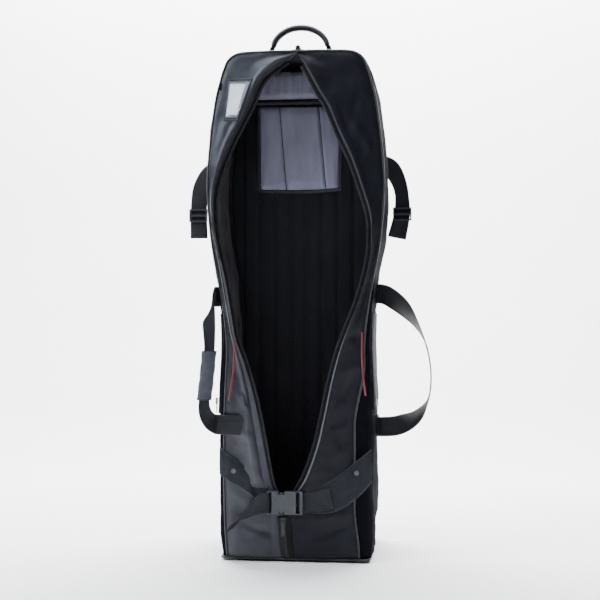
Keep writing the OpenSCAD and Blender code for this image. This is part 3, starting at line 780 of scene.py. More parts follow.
flap_middle = (flap_low.y + flap_high.y) / 2
hem_line = []
for x in np.linspace(-0.103, 0.103, 41):
    rise = 0.006 * (x / 0.108) ** 2 * (1 if x > 0 else 0.6)
    hem_line.append((x, flap_middle, flap_low.z + 0.002 + rise))
hem = tube("flap_hem", hem_line, 0.0048, binding, 12)
band_rows = []
for x in np.linspace(-0.15, 0.15, 61):
    lift = 0.0006 * math.sin(x * 210)
    band_rows.append([(x, flap_low.y + 0.003 - 0.004 * math.cos(a),
                       band_z + 0.005 + 0.0055 * math.sin(a) + lift)
                      for a in np.arange(12) * math.pi / 6])
band = surface("pad_binding", band_rows, ring=True, finish=(binding,), caps=True)
sides = []
for name, side in (("left", -1), ("right", 1)):
    line = [(side * (0.107 - 0.003 * t), flap_middle, flap_high.z - 0.003 - t * (flap_tall - 0.008))
            for t in np.linspace(0, 1, 24)]
    sides.append(tube("flap_edge_" + name, line, 0.0042, binding, 10))
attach(head_pad, "case")
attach(band, "case")
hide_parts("head_pad")
for piece in [flap, hem] + sides + seam_cords:
    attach(piece, "flap")
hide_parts("head_flap")

# ---- Base ----
# The cloth body stands on a moulded tray under its back half and a coated cloth panel over a
# board in front, with two round rubber feet. The cloth panel is bound to the walls by piping.
base_cloth = body_cloth("base_cloth", colour(13, 13, 19), colour(24, 25, 33), seam=5, sheen=0.1)
moulding = Finish("moulded_black", specular_ior_level=0.5)
grain = moulding.noise(260, 4)
scuff = moulding.noise(11, 6)
moulding.set(base_color=moulding.mix(scuff, colour(16, 16, 19), colour(34, 34, 39)),
             roughness=0.42 + 0.2 * scuff,
             normal=moulding.bump(grain, 0.0008, 0.5))


def repaint(finish, *nodes, bevel=0.0):
    """Gives CAD nodes a finish and, where their edges are moulded or tumbled, a small bevel."""
    for name in nodes:
        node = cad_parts[name]
        for slot in node.material_slots:
            slot.material = finish.data
        if not node.material_slots:
            node.data.materials.append(finish.data)
        if bevel:
            edge = node.modifiers.new("edge", "BEVEL")
            edge.width = bevel
            edge.segments = 2
            edge.limit_method = "ANGLE"
            edge.angle_limit = math.radians(40)
            edge.harden_normals = True


base_low, base_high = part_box("base_panel")
base_rows = []
for y in np.linspace(base_low.y + 0.001, base_high.y, 24):
    row = []
    for x in np.linspace(base_low.x, base_high.x, 60):
        edge = min(1, (abs(base_low.x) - abs(x)) / 0.012, (y - base_low.y) / 0.012)
        row.append((x, y, base_low.z + 0.0035 * (1 - edge) ** 2 + 0.0008 * crumple(x, y, 0, 0.06, 1.0)))
    base_rows.append(row)
base = surface("base_cloth_panel", base_rows, finish=(base_cloth,))
thicken = base.modifiers.new("thick", "SOLIDIFY")
thicken.thickness = 0.0032
thicken.offset = 1 if base.data.polygons[0].normal.z > 0 else -1
apply_all(base)
corner = 0.012
base_half = 0.184
rim_z = 0.007
base_edge = [(-base_half, base_high.y, rim_z)]
for side in (-1, 1):
    for angle in np.linspace(0, math.pi / 2, 8)[::-side]:
        base_edge.append((side * (base_half - corner * (1 - math.cos(angle))),
                          front_y + corner * (1 - math.sin(angle)), rim_z))
base_edge.append((base_half, base_high.y, rim_z))
base_cord = tube("base_piping_cord", evenly(np.array(base_edge), 160), piping_radius, piping_finish)
for piece in (base, base_cord):
    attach(piece, "case")
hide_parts("base_panel")
repaint(moulding, "wheel_housing", bevel=0.0014)
repaint(moulding, "front_feet", "skid_rails", bevel=0.0007)
board = Finish("stiff_board", specular_ior_level=0.4)
board.set(base_color=board.mix(board.noise(30, 5), colour(52, 52, 56), colour(72, 72, 77)), roughness=0.6,
          normal=board.bump(board.noise(400), 0.0004, 0.5))
repaint(board, "base_board", "back_stiffener")

# ---- Wheels ----
# Cast urethane tyres on nylon hubs, turning on shielded ball bearings. Each is clamped between
# the cheeks of its well by a zinc-plated axle bolt.
tyre = Finish("wheel_tyre", specular_ior_level=0.45)
tyre_x = tyre.axes(tyre.place())[0]
tyre_wear = tyre.noise(35, 6)
tyre.set(base_color=tyre.mix(tyre_wear, colour(24, 24, 27), colour(52, 51, 52)),
         roughness=0.55 + 0.25 * tyre_wear,
         normal=tyre.bump((tyre_x * 1600).sin() * 0.4 + tyre.noise(220, 4), 0.0006, 0.6))
hub = Finish("wheel_hub", specular_ior_level=0.5)
hub.set(base_color=hub.mix(hub.noise(25, 5), colour(120, 121, 124), colour(158, 159, 161)),
        roughness=0.4 + 0.2 * hub.noise(60),
        normal=hub.bump(hub.noise(500), 0.0003, 0.4))
steel = Finish("zinc_steel", metallic=1.0)
brushed = steel.noise(1, 3, steel.node("ShaderNodeMapping", None, {
    "Vector": steel.place(), "Scale": (30, 900, 900)}))
steel.set(base_color=steel.mix(brushed, colour(168, 170, 174), colour(200, 202, 206)),
          roughness=0.28 + 0.2 * brushed,
          normal=steel.bump(brushed, 0.0001, 0.4))
repaint(tyre, "wheel_left_tyre", "wheel_right_tyre")
repaint(hub, "wheel_left_hub", "wheel_right_hub", bevel=0.0005)
repaint(steel, "wheel_left_bearings", "wheel_right_bearings", "axle_left_spacer", "axle_right_spacer")
repaint(steel, "axle_left", "axle_right", bevel=0.0005)

# ---- Rivets ----
# Blackened steel rivets hold the skid rails to the back board and the wings to the front.
rivet = Finish("black_rivet", metallic=0.85)
rivet_wear = rivet.noise(120, 5)
rivet.set(base_color=rivet.mix(rivet_wear, colour(52, 54, 58), colour(104, 107, 112)),
          roughness=0.26 + 0.2 * rivet_wear,
          normal=rivet.bump(rivet_wear, 0.0001, 0.5))
repaint(rivet, "rail_rivets", "wing_rivets", bevel=0.0006)

# ---- Top handle ----
# A moulded soft grip with stitched edges, over webbing that is sewn in a loop round a pin at
# each end. The pins sit in small black cheeks on sewn patches.
grip_low, grip_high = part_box("handle_grip")
grip_points = [(-71, 0), (-64, 17), (-48, 32), (-25, 42), (0, 45), (25, 42), (48, 32), (64, 17), (71, 0)]
grip_y = (grip_low.y + grip_high.y) / 2
grip_z = grip_high.z - 0.0075 - 0.0504
grip_line = evenly(smooth_line([(x, z * 1.12) for x, z in grip_points], 6), 90) * mm
soft_grip = Finish("grip_rubber", specular_ior_level=0.5)
soft_v = soft_grip.uv()[1]
soft_noise = soft_grip.noise(160, 4)
grip_rib = (soft_v * 1500).sin()
soft_grip.set(base_color=soft_grip.mix(soft_noise, colour(26, 27, 31), colour(48, 50, 56)),
              roughness=0.5 + 0.15 * soft_noise,
              normal=soft_grip.bump(grip_rib * 0.35 + soft_noise, 0.0007, 0.6))
stitch_thread = Finish("stitch_thread", roughness=0.6)
stitch_thread.set(base_color=stitch_thread.mix(stitch_thread.noise(500), colour(6, 6, 8), colour(20, 20, 24)))
grip_rows = []
grip_normals = flat_normals(grip_line)
for k, ((x, z), (nx, nz)) in enumerate(zip(grip_line, grip_normals)):
    t = k / (len(grip_line) - 1)
    end = min(1, min(t, 1 - t) / 0.03)
    half_wide = 0.0118 * (0.7 + 0.3 * end ** 0.5)
    half_thick = 0.0068 * (0.55 + 0.45 * end ** 0.5)
    row = []
    for a in np.arange(28) * 2 * math.pi / 28:
        flat = abs(math.cos(a)) ** 0.75 * math.copysign(1, math.cos(a))
        up = math.sin(a)
        groove = 1 - 0.09 * math.exp(-((abs(abs(flat) - 0.78)) / 0.06) ** 2)
        out = half_thick * up * groove
        row.append((x + nx * out, grip_y + half_wide * flat, grip_z + z + nz * out))
    grip_rows.append(row)
grip = surface("handle_grip_cover", grip_rows, ring=True, finish=(soft_grip,), caps=True)
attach(grip, "top_handle")
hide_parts("handle_grip")


def stitches(name, line, up, length, pitch, finish, body, size=0.0007):
    """A row of thread stitches along a 3-D line, lying on the surface that up looks out of."""
    line = np.asarray(line, float)
    count = max(2, int(lengths(line)[-1] / pitch))
    places = evenly(line, count)
    ups = evenly(np.asarray(up, float), count) if np.ndim(up) == 2 else np.repeat([up], count, axis=0)
    run = np.gradient(places, axis=0)
    run /= np.linalg.norm(run, axis=1)[:, None]
    mesh = bpy.data.meshes.new(name)
    build = bmesh.new()
    for place, along, over in zip(places, run, ups):
        over = over / np.linalg.norm(over)
        side = np.cross(along, over)
        rings = []
        for t, fat in ((-0.5, 0.35), (-0.2, 1.0), (0.2, 1.0), (0.5, 0.35)):
            middle = place + along * t * length + over * size * 0.5 * fat
            rings.append([build.verts.new(middle + size * fat * (math.cos(a) * side + math.sin(a) * over))
                          for a in np.arange(5) * 2 * math.pi / 5])
        for low, high in zip(rings, rings[1:]):
            for i in range(5):
                build.faces.new((low[i], low[(i + 1) % 5], high[(i + 1) % 5], high[i])).smooth = True
        build.faces.new(rings[0][::-1])
        build.faces.new(rings[-1])
    bmesh.ops.recalc_face_normals(build, faces=build.faces)
    build.to_mesh(mesh)
    build.free()
    obj = bpy.data.objects.new(name, mesh)
    bpy.context.scene.collection.objects.link(obj)
    mesh.materials.append(finish.data)
    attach(obj, body)
    return obj


for side in (-1, 1):
    for face in (-1, 1):
        inner = [(x + nx * face * 0.0059, grip_y + side * 0.0088, grip_z + z + nz * face * 0.0059)
                 for (x, z), (nx, nz) in zip(grip_line, grip_normals)][6:-6]
        stitches("grip_stitch_" + str(side + 1) + str(face + 1), inner,
                 [(nx * face, side * 0.6, nz * face) for nx, nz in grip_normals][6:-6], 0.0028, 0.0042,
                 stitch_thread, "top_handle")

# ---- Strap webbing ----
# Polypropylene webbing 50 mm wide with a ribbed weave and a thicker woven edge. The right
# duffel handle is one open loop, which turns edge-on where it bulges away from the case.
webbing = Finish("strap_webbing", sheen_weight=0.06, sheen_roughness=0.35, specular_ior_level=0.28)
web_u, web_v = webbing.uv()
rib = web_u * (math.pi / 0.0031)
pick = (web_v / 0.0021 + 0.5 * (web_u / 0.0031).floor().mod2()).frac() * math.pi
weave_height_and_painted_shade = rib.sin().abs() * 0.6 + rib.sin().abs() * pick.sin() * 0.5
web_tone = webbing.noise(40, 5)
# Rib tops are lighter and the grooves between them darker, painted shade that follows the weave; the noise
# adds random tone.
webbing.set(base_color=webbing.mix(weave_height_and_painted_shade * 0.5 + web_tone * 0.4, colour(6, 7, 12), colour(27, 29, 38)),
            roughness=0.5 + 0.12 * web_tone, normal=webbing.bump(weave_height_and_painted_shade, 0.0009, 0.8))
web_wide = 0.05
web_thick = 0.0024


def strap(name, path, finish, steps=6, thick=web_thick, ends=True, bow=0.0):
    """Flat webbing along points of x, y, z, the way of its width x, y, z, and its width, in mm."""
    line = smooth_line(path, steps)
    places = line[:, :3] * mm
    run = np.gradient(places, axis=0)
    run /= np.linalg.norm(run, axis=1)[:, None]
    down = lengths(places)
    rows = []
    cuts = []
    for place, along, wide, width, far in zip(places, run, line[:, 3:6], line[:, 6] * mm, down):
        wide = wide / np.linalg.norm(wide)
        over = np.cross(along, wide)
        over /= np.linalg.norm(over)
        row = []
        cut = []
        for a in np.arange(24) / 24:
            u = (a * 2 if a < 0.5 else 2 - a * 2) - 0.5
            lift = (1 if a < 0.5 else -1) * (0.5 * thick) * (1 - (abs(u) * 2) ** 8) ** 0.5
            curl = bow * (4 * u * u - 0.5)
            row.append(place + wide * width * u + over * (lift + curl))
            cut.append(((u + 0.5) * web_wide, far))
        rows.append(row)
        cuts.append(cut + [cut[0]])
    return surface(name, rows, ring=True, uv=np.array(cuts), finish=(finish,), caps=ends)


def edge_of(path, share, steps=6, lift=0.0014):
    """The 3-D line that runs along a strap at a share of its width, and the way out of its face."""
    line = smooth_line(path, steps)
    places = line[:, :3] * mm
    run = np.gradient(places, axis=0)
    run /= np.linalg.norm(run, axis=1)[:, None]
    wide = line[:, 3:6] / np.linalg.norm(line[:, 3:6], axis=1)[:, None]
    over = np.cross(run, wide)
    over /= np.linalg.norm(over, axis=1)[:, None]
    return places + wide * (line[:, 6] * mm * share)[:, None] + over * lift, over * math.copysign(1, lift)


right_loop = [(206.5, -32, 660, 0, 0, 1, 50), (228, -37, 652, 0.3, 0.2, 1, 50),
              (262, -40, 625, 0.5, 0.6, 0.6, 50), (292, -40, 588, 0.25, 0.9, 0.25, 50),
              (318, -40, 540, 0, 1, 0, 50), (331, -40, 485, 0, 1, 0, 50), (333, -40, 435, 0, 1, 0, 50),
              (325, -40, 390, 0, 1, 0.1, 50), (296, -40, 350, -0.35, 0.8, 0.45, 50),
              (250, -38, 327, -0.15, 0.2, 1, 50), (206.5, -32, 322, 0, 0, 1, 50)]
duffel_right = strap("duffel_loop_right", right_loop, webbing, 8, bow=0.002)
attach(duffel_right, "duffel_right")
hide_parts("duffel_webbing_right")
for share in (-0.44, 0.44):
    for face in (1, -1):
        line, over = edge_of(right_loop, share, lift=0.0013 * face)
        stitches("duffel_right_stitch", line, over, 0.0032, 0.0048, stitch_thread, "duffel_right", 0.0004)

# ---- Left duffel handle and wrap ----
# The left handle gathers to half its width where the padded wrap folds round it and closes on
# itself. The wrap is foam between two layers of cloth with a bound edge.
left_loop = [(-199.5, -152, 652, 0, 0, 1, 50), (-207, -160, 632, 0.2, 0, 1, 46),
             (-210, -172, 600, 0.8, 0.3, 0.6, 38), (-207, -184, 560, 1, 0.3, 0.2, 30),
             (-206, -190, 520, 1, 0.2, 0, 26), (-211, -194, 460, 1, 0.2, 0, 26),
             (-218, -194, 400, 1, 0.2, 0, 26), (-217, -188, 372, 1, 0.3, 0.2, 32),
             (-210, -174, 350, 0.6, 0.3, 0.9, 40), (-199.5, -152, 337, 0, 0, 1, 50)]
duffel_left = strap("duffel_loop_left", left_loop, webbing, 8, bow=0.003)
wrap_cloth = Finish("wrap_cloth", sheen_weight=0.4, specular_ior_level=0.4)
wrap_u, wrap_v = wrap_cloth.uv()
wrap_tone = wrap_cloth.noise(60, 4)
wrap_weave = (wrap_u * 4500).sin() * (wrap_v * 4500).sin()
wrap_cloth.set(base_color=wrap_cloth.mix(wrap_tone, colour(20, 22, 31), colour(52, 57, 72)),
               roughness=0.5,
               normal=wrap_cloth.bump(wrap_tone + wrap_weave * 0.15, 0.0015, 0.6))
wrap_path = smooth_line([point[:6] for point in left_loop[4:7]], 20)
wrap_rows = []
for k, point in enumerate(wrap_path):
    t = k / (len(wrap_path) - 1)
    end = min(1, min(t, 1 - t) / 0.05) ** 0.5
    along = np.gradient(wrap_path[:, :3], axis=0)[k]
    along /= np.linalg.norm(along)
    wide = point[3:6] / np.linalg.norm(point[3:6])
    over = np.cross(along, wide)
    over /= np.linalg.norm(over)
    row = []
    for a in np.arange(32) * 2 * math.pi / 32:
        seam = 1 - 0.05 * math.exp(-((a - math.pi * 0.92) / 0.12) ** 2)
        swell = (0.82 + 0.18 * end) * seam * (1 + 0.03 * math.sin(t * 21 + a * 2))
        row.append(point[:3] * mm + wide * 0.0178 * swell * math.cos(a) * abs(math.cos(a)) ** 0.15
                   + over * 0.0082 * swell * math.sin(a))
    wrap_rows.append(row)
wrap = surface("handle_wrap_pad", wrap_rows, ring=True, finish=(wrap_cloth,), caps=True)
wrap_edges = []
for name, k in (("top", 1), ("bottom", -2)):
    ring = np.array(wrap_rows[k] + wrap_rows[k][:1])
    wrap_edges.append(tube("wrap_binding_" + name, ring, 0.0016, binding, 8))
seam_line_wrap = [row[15] for row in wrap_rows[1:-1]]
wrap_edges.append(tube("wrap_binding_side", seam_line_wrap, 0.0013, binding, 8))
for piece in [duffel_left, wrap] + wrap_edges:
    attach(piece, "duffel_left")
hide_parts("duffel_webbing_left")
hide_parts("handle_wrap")

# ---- Sewn handle ends ----
# Each end of a duffel handle runs on flat over the wall or the front panel, and is held by a
# square of stitching with a cross in it.


def patch(name, corner, wide, tall, out, finish, size, thick=0.0026):
    """A flat piece of webbing with rounded corners, sewn down with a boxed cross."""
    corner, wide, tall, out = (np.array(v, float) for v in (corner, wide, tall, out))
    rows = []
    for v in np.linspace(0, 1, 14):
        row = []
        for u in np.linspace(0, 1, 14):
            edge = min(u, 1 - u) * size[0], min(v, 1 - v) * size[1]
            drop = max(0, 1 - min(edge) / 0.0025)
            row.append(corner + wide * u * size[0] + tall * v * size[1]
                       + out * thick * (1 - 0.55 * drop ** 2))
        rows.append(row)
    piece = surface(name, rows, finish=(finish,))
    back = piece.modifiers.new("thick", "SOLIDIFY")
    back.thickness = thick * 0.9
    facing_out = Vector(out).dot(piece.data.polygons[40].normal) > 0
    back.offset = -1 if facing_out else 1
    apply_all(piece)
    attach(piece, "case")
    inset = 0.005
    a = corner + wide * inset + tall * inset + out * (thick + 0.0001)
    b = a + wide * (size[0] - 2 * inset)
    c = b + tall * (size[1] - 2 * inset)
    d = a + tall * (size[1] - 2 * inset)
    for k, (p, q) in enumerate(((a, b), (b, c), (c, d), (d, a), (a, c), (b, d))):
        stitches(name + "_stitch", [p + (q - p) * t for t in np.linspace(0.02, 0.98, 6)], out,
                 0.0028, 0.004, stitch_thread, "case", 0.0005)
    return piece


for z in (0.322, 0.66):
    patch("right_end", (0.1975, -0.034, z - 0.025), (0, 1, 0), (0, 0, 1), (1, 0, 0), webbing,
                         (0.068, 0.05))
    bridge = [(x, y, z / mm, 0, 0, 1, 50)
              for x, y in ((206.5, -32), (203, -31.5), (199.4, -28), (198.4, -20))]
    turn = strap("right_end_turn", bridge, webbing, 4)
    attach(turn, "case")
left_upper = [(x, y, 652, 0, 0, 1, 50)
              for x, y in ((-199.5, -150.5), (-200, -146), (-200.5, -135), (-199, -100), (-198, -62))]
left_lower = [(-201.5, -150.5, 337, 0, 0, 1, 50), (-192, -155.2, 336.5, 0, 0, 1, 50),
              (-176, -156.5, 336, 0, 0, 1, 50), (-150, -156, 336, 0, 0, 1, 50),
              (-124, -155, 336, 0, 0, 1, 50)]
for name, path in (("left_end_upper", left_upper), ("left_end_lower", left_lower)):
    piece = strap(name, path, webbing, 5)
    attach(piece, "case")
for share in (-0.4, 0.4):
    line, over = edge_of(left_lower[1:], share, lift=-0.0014)
    stitches("left_lower_stitch", line, over, 0.0028, 0.004, stitch_thread, "case", 0.0005)
for x in (-0.127, -0.165):
    stitches("left_lower_cross", [(x, -0.1578, z) for z in np.linspace(0.317, 0.355, 8)], (0, -1, 0),
             0.0028, 0.004, stitch_thread, "case", 0.0005)
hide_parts("duffel_patches")

# ---- Upper strap ends ----
# Two short webbing ends come out of the side seams, pinch into a fold and hang down, each
# with a two-slot plastic adjuster.
upper_left = [(-214, 20, 985, 0, 0, 1, 50), (-222, 20, 984, 0, 0, 1, 50), (-242, 20, 976, -0.45, 0, 0.9, 48),
              (-260, 21, 956, -0.85, 0, 0.5, 42), (-271, 23, 925, -1, 0, 0.1, 42),
              (-274, 24, 870, -1, 0, 0, 44), (-273, 24, 806, -1, 0, 0, 46)]
upper_right = [(214, 20, 991, 0, 0, 1, 50), (222, 20, 990, 0, 0, 1, 50), (236, 20, 978, 0.5, 0, 0.85, 48),
               (250, 21, 952, 0.85, 0, 0.5, 40), (259, 23, 915, 1, 0, 0.15, 36),
               (259, 24, 865, 1, 0, -0.1, 42), (246, 24, 804, 1, 0, -0.2, 48)]
for side, path in (("left", upper_left), ("right", upper_right)):
    piece = strap("upper_strap_end_" + side, path, webbing, 7, bow=0.0025)
    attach(piece, "upper_strap_" + side)
    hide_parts("upper_webbing_" + side)
    hem_row = edge_of(path, 0, 7)[0][-2:-1] + np.outer(np.linspace(-0.019, 0.019, 9), (1, 0, 0))
    stitches("upper_hem_stitch_" + side, hem_row, (0, -1, 0), 0.0028, 0.004, stitch_thread,
             "upper_strap_" + side, 0.0005)
buckle_plastic = Finish("buckle_plastic", specular_ior_level=0.55, coat_weight=0.12, coat_roughness=0.3)
buckle_wear = buckle_plastic.noise(90, 5)
buckle_plastic.set(base_color=buckle_plastic.mix(buckle_wear, colour(20, 22, 28), colour(44, 49, 60)),
                   roughness=0.33 + 0.14 * buckle_wear,
                   normal=buckle_plastic.bump(buckle_plastic.noise(700), 0.0002, 0.5))
repaint(buckle_plastic, "upper_adjuster_left", "upper_adjuster_right", bevel=0.001)
repaint(moulding, "handle_anchors", bevel=0.0006)
repaint(webbing, "handle_webbing")

# ---- Lower compression strap ----
# A cloth wing is riveted and sewn to the front at each side. Webbing runs from the wings to a
# side-release buckle, and its loose tail hangs from the ladder lock on the left.
left_wing = ([(-188, 278), (-140, 246), (-100, 214), (-66, 183)],
             [(-188, 214), (-155, 194), (-113, 170), (-66, 126)])
right_wing = ([(188, 278), (140, 240), (96, 206), (42, 174)],
              [(188, 200), (150, 160), (98, 127), (42, 122)])
wing_cloth = body_cloth("wing_cloth", colour(13, 14, 21), colour(26, 29, 40), seam=5, sheen=0.1, gloss=0.2)
wing_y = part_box("wing_left")[0].y
for name, (top, low) in (("left", left_wing), ("right", right_wing)):
    upper = evenly(smooth_line(top, 8), 34) * mm
    lower = evenly(smooth_line(low, 8), 34) * mm
    rows = []
    for a, b in zip(upper, lower):
        row = []
        for t in np.linspace(0, 1, 20):
            x, z = a + (b - a) * t
            dive = 0.0042 * ease(np.array(-abs(x)), -0.112, -0.098) if name == "left" else 0.0
            back = max(0.0, abs(x) - 0.165) * 0.3
            swell = 0.0014 * math.sin(math.pi * t) + crumple(x, 0, z, 0.05, 0.0016, 40)
            row.append((x, wing_y + 0.0008 + dive + back - swell * (dive < 0.001), z))
        rows.append(row)
    wing = surface("wing_panel_" + name, rows, finish=(wing_cloth,))
    thicken = wing.modifiers.new("thick", "SOLIDIFY")
    thicken.thickness = 0.0018
    thicken.offset = 0
    apply_all(wing)
    top_edge = [row[0] for row in rows]
    low_edge = [row[-1] for row in rows]
    edges = [tube("wing_binding_" + name + "_" + word, line, 0.0016, binding, 8)
             for word, line in (("top", top_edge), ("low", low_edge))]
    for piece in [wing] + edges:
        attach(piece, "case")
    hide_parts("wing_" + name)
    for shift, line in ((-0.006, top_edge), (0.006, low_edge)):
        stitches("wing_stitch_" + name, [(x, y - 0.0016, z + shift) for x, y, z in line[3:-6]], (0, -1, 0),
                 0.0028, 0.004, stitch_thread, "case", 0.0005)

f = front_y / mm
lower_left = [(-88, f - 4.6, 156, 0.1, 0, 1, 50), (-76, f - 4.5, 152, 0.05, 0, 1, 50),
              (-50, f - 4.2, 147, 0, 0, 1, 50)]
lower_right = [(92, f - 11, 160, -0.2, 0, 1, 50), (55, f - 11.4, 151, -0.1, 0, 1, 50),
               (21, f - 13, 147, 0, 0, 1, 50), (9, f - 13.4, 147, 0, 0, 1, 50)]
tail = [(-60, f - 14, 147, 0, 0, 1, 48), (-66, f - 21.5, 147, 0, 0, 1, 49),
        (-88, f - 24, 144, 0.1, 0.15, 1, 50), (-112, f - 26, 131, 0.3, 0.5, 0.8, 50),
        (-134, f - 27, 112, 0.5, 0.8, 0.4, 50), (-150, f - 28, 92, 0.4, 0.9, 0.2, 50),
        (-156, f - 28, 84, 0.4, 0.9, 0.2, 40), (-158, f - 28, 80, 0.4, 0.9, 0.2, 22)]
strap_left = strap("lower_strap_left", lower_left, webbing, 8)
strap_right = strap("lower_strap_right", lower_right, webbing, 8)
strap_tail = strap("lower_strap_tail", tail, webbing, 8, bow=0.0015)
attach(strap_left, "case")
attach(strap_right, "case")
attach(strap_tail, "buckle_half")
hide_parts("lower_webbing_left")
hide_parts("lower_webbing_right")
repaint(buckle_plastic, "buckle_male", "buckle_female", bevel=0.0014)

# ---- Zip sliders and pulls ----
# Enamelled cast sliders with a bridge that holds a flat pull. Two lie at the top of the
# opening and one hangs over the closed stretch below the buckle.
enamel = Finish("black_enamel", metallic=0.6, coat_weight=0.3, coat_roughness=0.25)
chip = enamel.noise(260, 6)
enamel.set(base_color=enamel.mix(chip, colour(14, 15, 18), colour(40, 41, 46)), roughness=0.3 + 0.15 * chip,
           normal=enamel.bump(chip, 0.0002, 0.4))
repaint(enamel, "zip_slider_top", "zip_slider_bottom", "zip_pull_top", "zip_pull_bottom", bevel=0.0007)

# ---- Side pockets ----
# A long flat pocket on each side wall, piped in red down its front edge and closed by a zip
# with a grey metal pull.
red_piping = Finish("red_piping", sheen_weight=0.2, specular_ior_level=0.45)
red_tone = red_piping.noise(120, 4)
red_piping.set(base_color=red_piping.mix(red_tone, colour(104, 22, 34), colour(138, 38, 52)), roughness=0.5,
               normal=red_piping.bump(red_tone, 0.0006, 0.5))
grey_metal = Finish("pull_metal", metallic=0.9)
scratch = grey_metal.noise(1, 4, grey_metal.node("ShaderNodeMapping", None, {
    "Vector": grey_metal.place(), "Scale": (600, 600, 60)}))
grey_metal.set(base_color=grey_metal.mix(scratch, colour(126, 130, 136), colour(176, 180, 186)),
               roughness=0.3 + 0.2 * scratch,
               normal=grey_metal.bump(scratch, 0.0001, 0.5))
repaint(grey_metal, "pocket_pull_left", "pocket_pull_right", bevel=0.0005)
pocket_low, pocket_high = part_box("side_pockets")
pocket_front = -0.112
pocket_rear = 0.096


def lie_on(panel, x, z):
    """How far forward the face of a front panel stands at a point."""
    hit = panel.ray_cast(Vector((x, front_y - 0.1, z)), Vector((0, 1, 0)))
    return hit[1].y if hit[0] else front_y


pocket_cloth = body_cloth("pocket_cloth", colour(14, 14, 21), colour(25, 26, 35),
                          seam=0.008, sheen=0.0, rough=0.7, gloss=0.08)
for side, name in ((-1, "left"), (1, "right")):
    rows = []
    for z in np.linspace(pocket_low.z, pocket_high.z, 40):
        wall = float(np.interp(z, half_outline[:60, 1], half_outline[:60, 0]))
        row = []
        for y in np.linspace(pocket_front, pocket_rear, 34):
            edge = min(y - pocket_front, pocket_rear - y, z - pocket_low.z, pocket_high.z - z)
            lift = 0.0055 * float(ease(np.array(edge), -0.001, 0.012))
            lift += crumple(0, y, z, 0.07, 0.0016, side * 5)
            row.append((side * (wall + 0.0015 + max(0.0005, lift)), y, z))
        rows.append(row)
    pocket = surface("pocket_panel_" + name, rows, finish=(pocket_cloth,))
    thicken = pocket.modifiers.new("thick", "SOLIDIFY")
    thicken.thickness = 0.0022
    thicken.offset = -1 if pocket.data.polygons[300].normal.x * side > 0 else 1
    apply_all(pocket)
    heights = np.linspace(0.36, 0.61, 60)
    wall = np.interp(heights, half_outline[:60, 1], half_outline[:60, 0])
    front = panel_left if side < 0 else panel_right
    red_low, red_high = ((-0.165, 0.395), (-0.149, 0.545)) if side < 0 else ((0.173, 0.41), (0.165, 0.565))
    red_line = []
    for t in np.linspace(0, 1, 40):
        x, z = (a + (b - a) * t for a, b in zip(red_low, red_high))
        x += side * -0.004 * math.sin(math.pi * t)
        red_line.append((x, lie_on(front, x, z) - 0.0012, z))
    red = tube("pocket_piping_" + name, red_line, 0.0021, red_piping)
    trim = tube("pocket_trim_" + name, [(side * (w + 0.0035), -0.1165, z) for w, z in zip(wall, heights)],
                0.0021, piping_finish)
    for piece in (pocket, red, trim):
        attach(piece, "case")
    if side < 0:
        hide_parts("side_pockets")

# ---- Card window ----
# A clear vinyl window in a stitched cloth frame on the upper left of the front. A blank white
# card slides in from its open top edge.
window_line = [(-177, 1087), (-141, 1086), (-104, 1190), (-166, 1191)]
card_line = [(-171, 1100), (-144, 1100), (-121, 1176), (-161, 1178)]


def inset_line(points, by):
    """A closed outline drawn in by an equal distance."""
    middle = np.mean(points, axis=0)
    return [tuple(np.array(p) + (middle - np.array(p)) * by) for p in points]


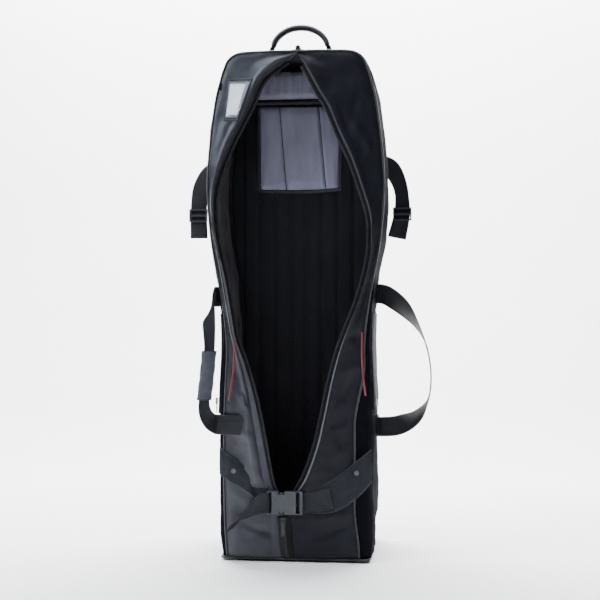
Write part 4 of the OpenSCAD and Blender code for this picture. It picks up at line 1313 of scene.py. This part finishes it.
def plate(name, points, thick, raise_by, finish, grid=18, hole=None):
    """A thin four-cornered sheet that follows the front panel, or a frame where a hole is given."""
    corners = [np.array(p) * mm for p in points]
    inside = [np.array(p) * mm for p in hole] if hole else None
    rows = []
    if hole:
        for k in range(4):
            a, b = corners[k], corners[(k + 1) % 4]
            c, d = inside[k], inside[(k + 1) % 4]
            for t in np.linspace(0, 1, grid, endpoint=False):
                outer_point, inner_point = a + (b - a) * t, c + (d - c) * t
                row = []
                for s in np.linspace(0, 1, 6):
                    x, z = outer_point + (inner_point - outer_point) * s
                    row.append((x, lie_on(panel_left, x, z) - raise_by - 0.0006 * math.sin(math.pi * s), z))
                rows.append(row)
        rows.append(rows[0])
    else:
        for t in np.linspace(0, 1, grid):
            left = corners[0] + (corners[3] - corners[0]) * t
            right = corners[1] + (corners[2] - corners[1]) * t
            rows.append([(x, lie_on(panel_left, x, z) - raise_by, z)
                         for x, z in (left + (right - left) * s for s in np.linspace(0, 1, grid))])
    piece = surface(name, rows, finish=(finish,))
    if hole:
        weld = piece.modifiers.new("close", "WELD")
        weld.merge_threshold = 0.00002
    back = piece.modifiers.new("thick", "SOLIDIFY")
    back.thickness = thick
    back.offset = 0
    apply_all(piece)
    return piece


card_finish = Finish("blank_card", specular_ior_level=0.4)
card_tone = card_finish.noise(40, 4)
card_finish.set(base_color=card_finish.mix(card_tone, colour(240, 242, 246), colour(250, 251, 253)),
                roughness=0.5,
                normal=card_finish.bump(card_finish.noise(600), 0.0001, 0.4))
vinyl = Finish("clear_vinyl", alpha=0.16, specular_ior_level=0.9)
vinyl_wave = vinyl.noise(22, 3)
vinyl.set(base_color=vinyl.mix(vinyl_wave, colour(196, 206, 222), colour(232, 236, 244)),
          roughness=0.1 + 0.06 * vinyl_wave,
          normal=vinyl.bump(vinyl_wave, 0.002, 0.5))
card = plate("name_card", card_line, 0.0004, 0.0009, card_finish)
film = plate("window_film_sheet", inset_line(window_line, 0.1), 0.0003, 0.0024, vinyl)
window_frame = plate("window_frame", window_line, 0.0012, 0.0017, binding, hole=inset_line(window_line, 0.17))
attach(card, "card")
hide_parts("id_card")
for piece in (film, window_frame):
    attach(piece, "case")
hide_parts("id_window")
pale_thread = Finish("pale_thread", roughness=0.55)
pale_thread.set(base_color=pale_thread.mix(pale_thread.noise(300), colour(92, 98, 112),
                                           colour(128, 134, 148)))
for depth in (0.035, 0.13):
    ring = [np.array(p) * mm for p in inset_line(window_line, depth)]
    for a, b in zip(ring, ring[1:] + ring[:1]):
        line = [a + (b - a) * t for t in np.linspace(0.02, 0.98, 12)]
        stitches("window_stitch", [(x, lie_on(panel_left, x, z) - 0.0031, z) for x, z in line], (0, -1, 0),
                 0.003, 0.0042, pale_thread, "case", 0.0005)
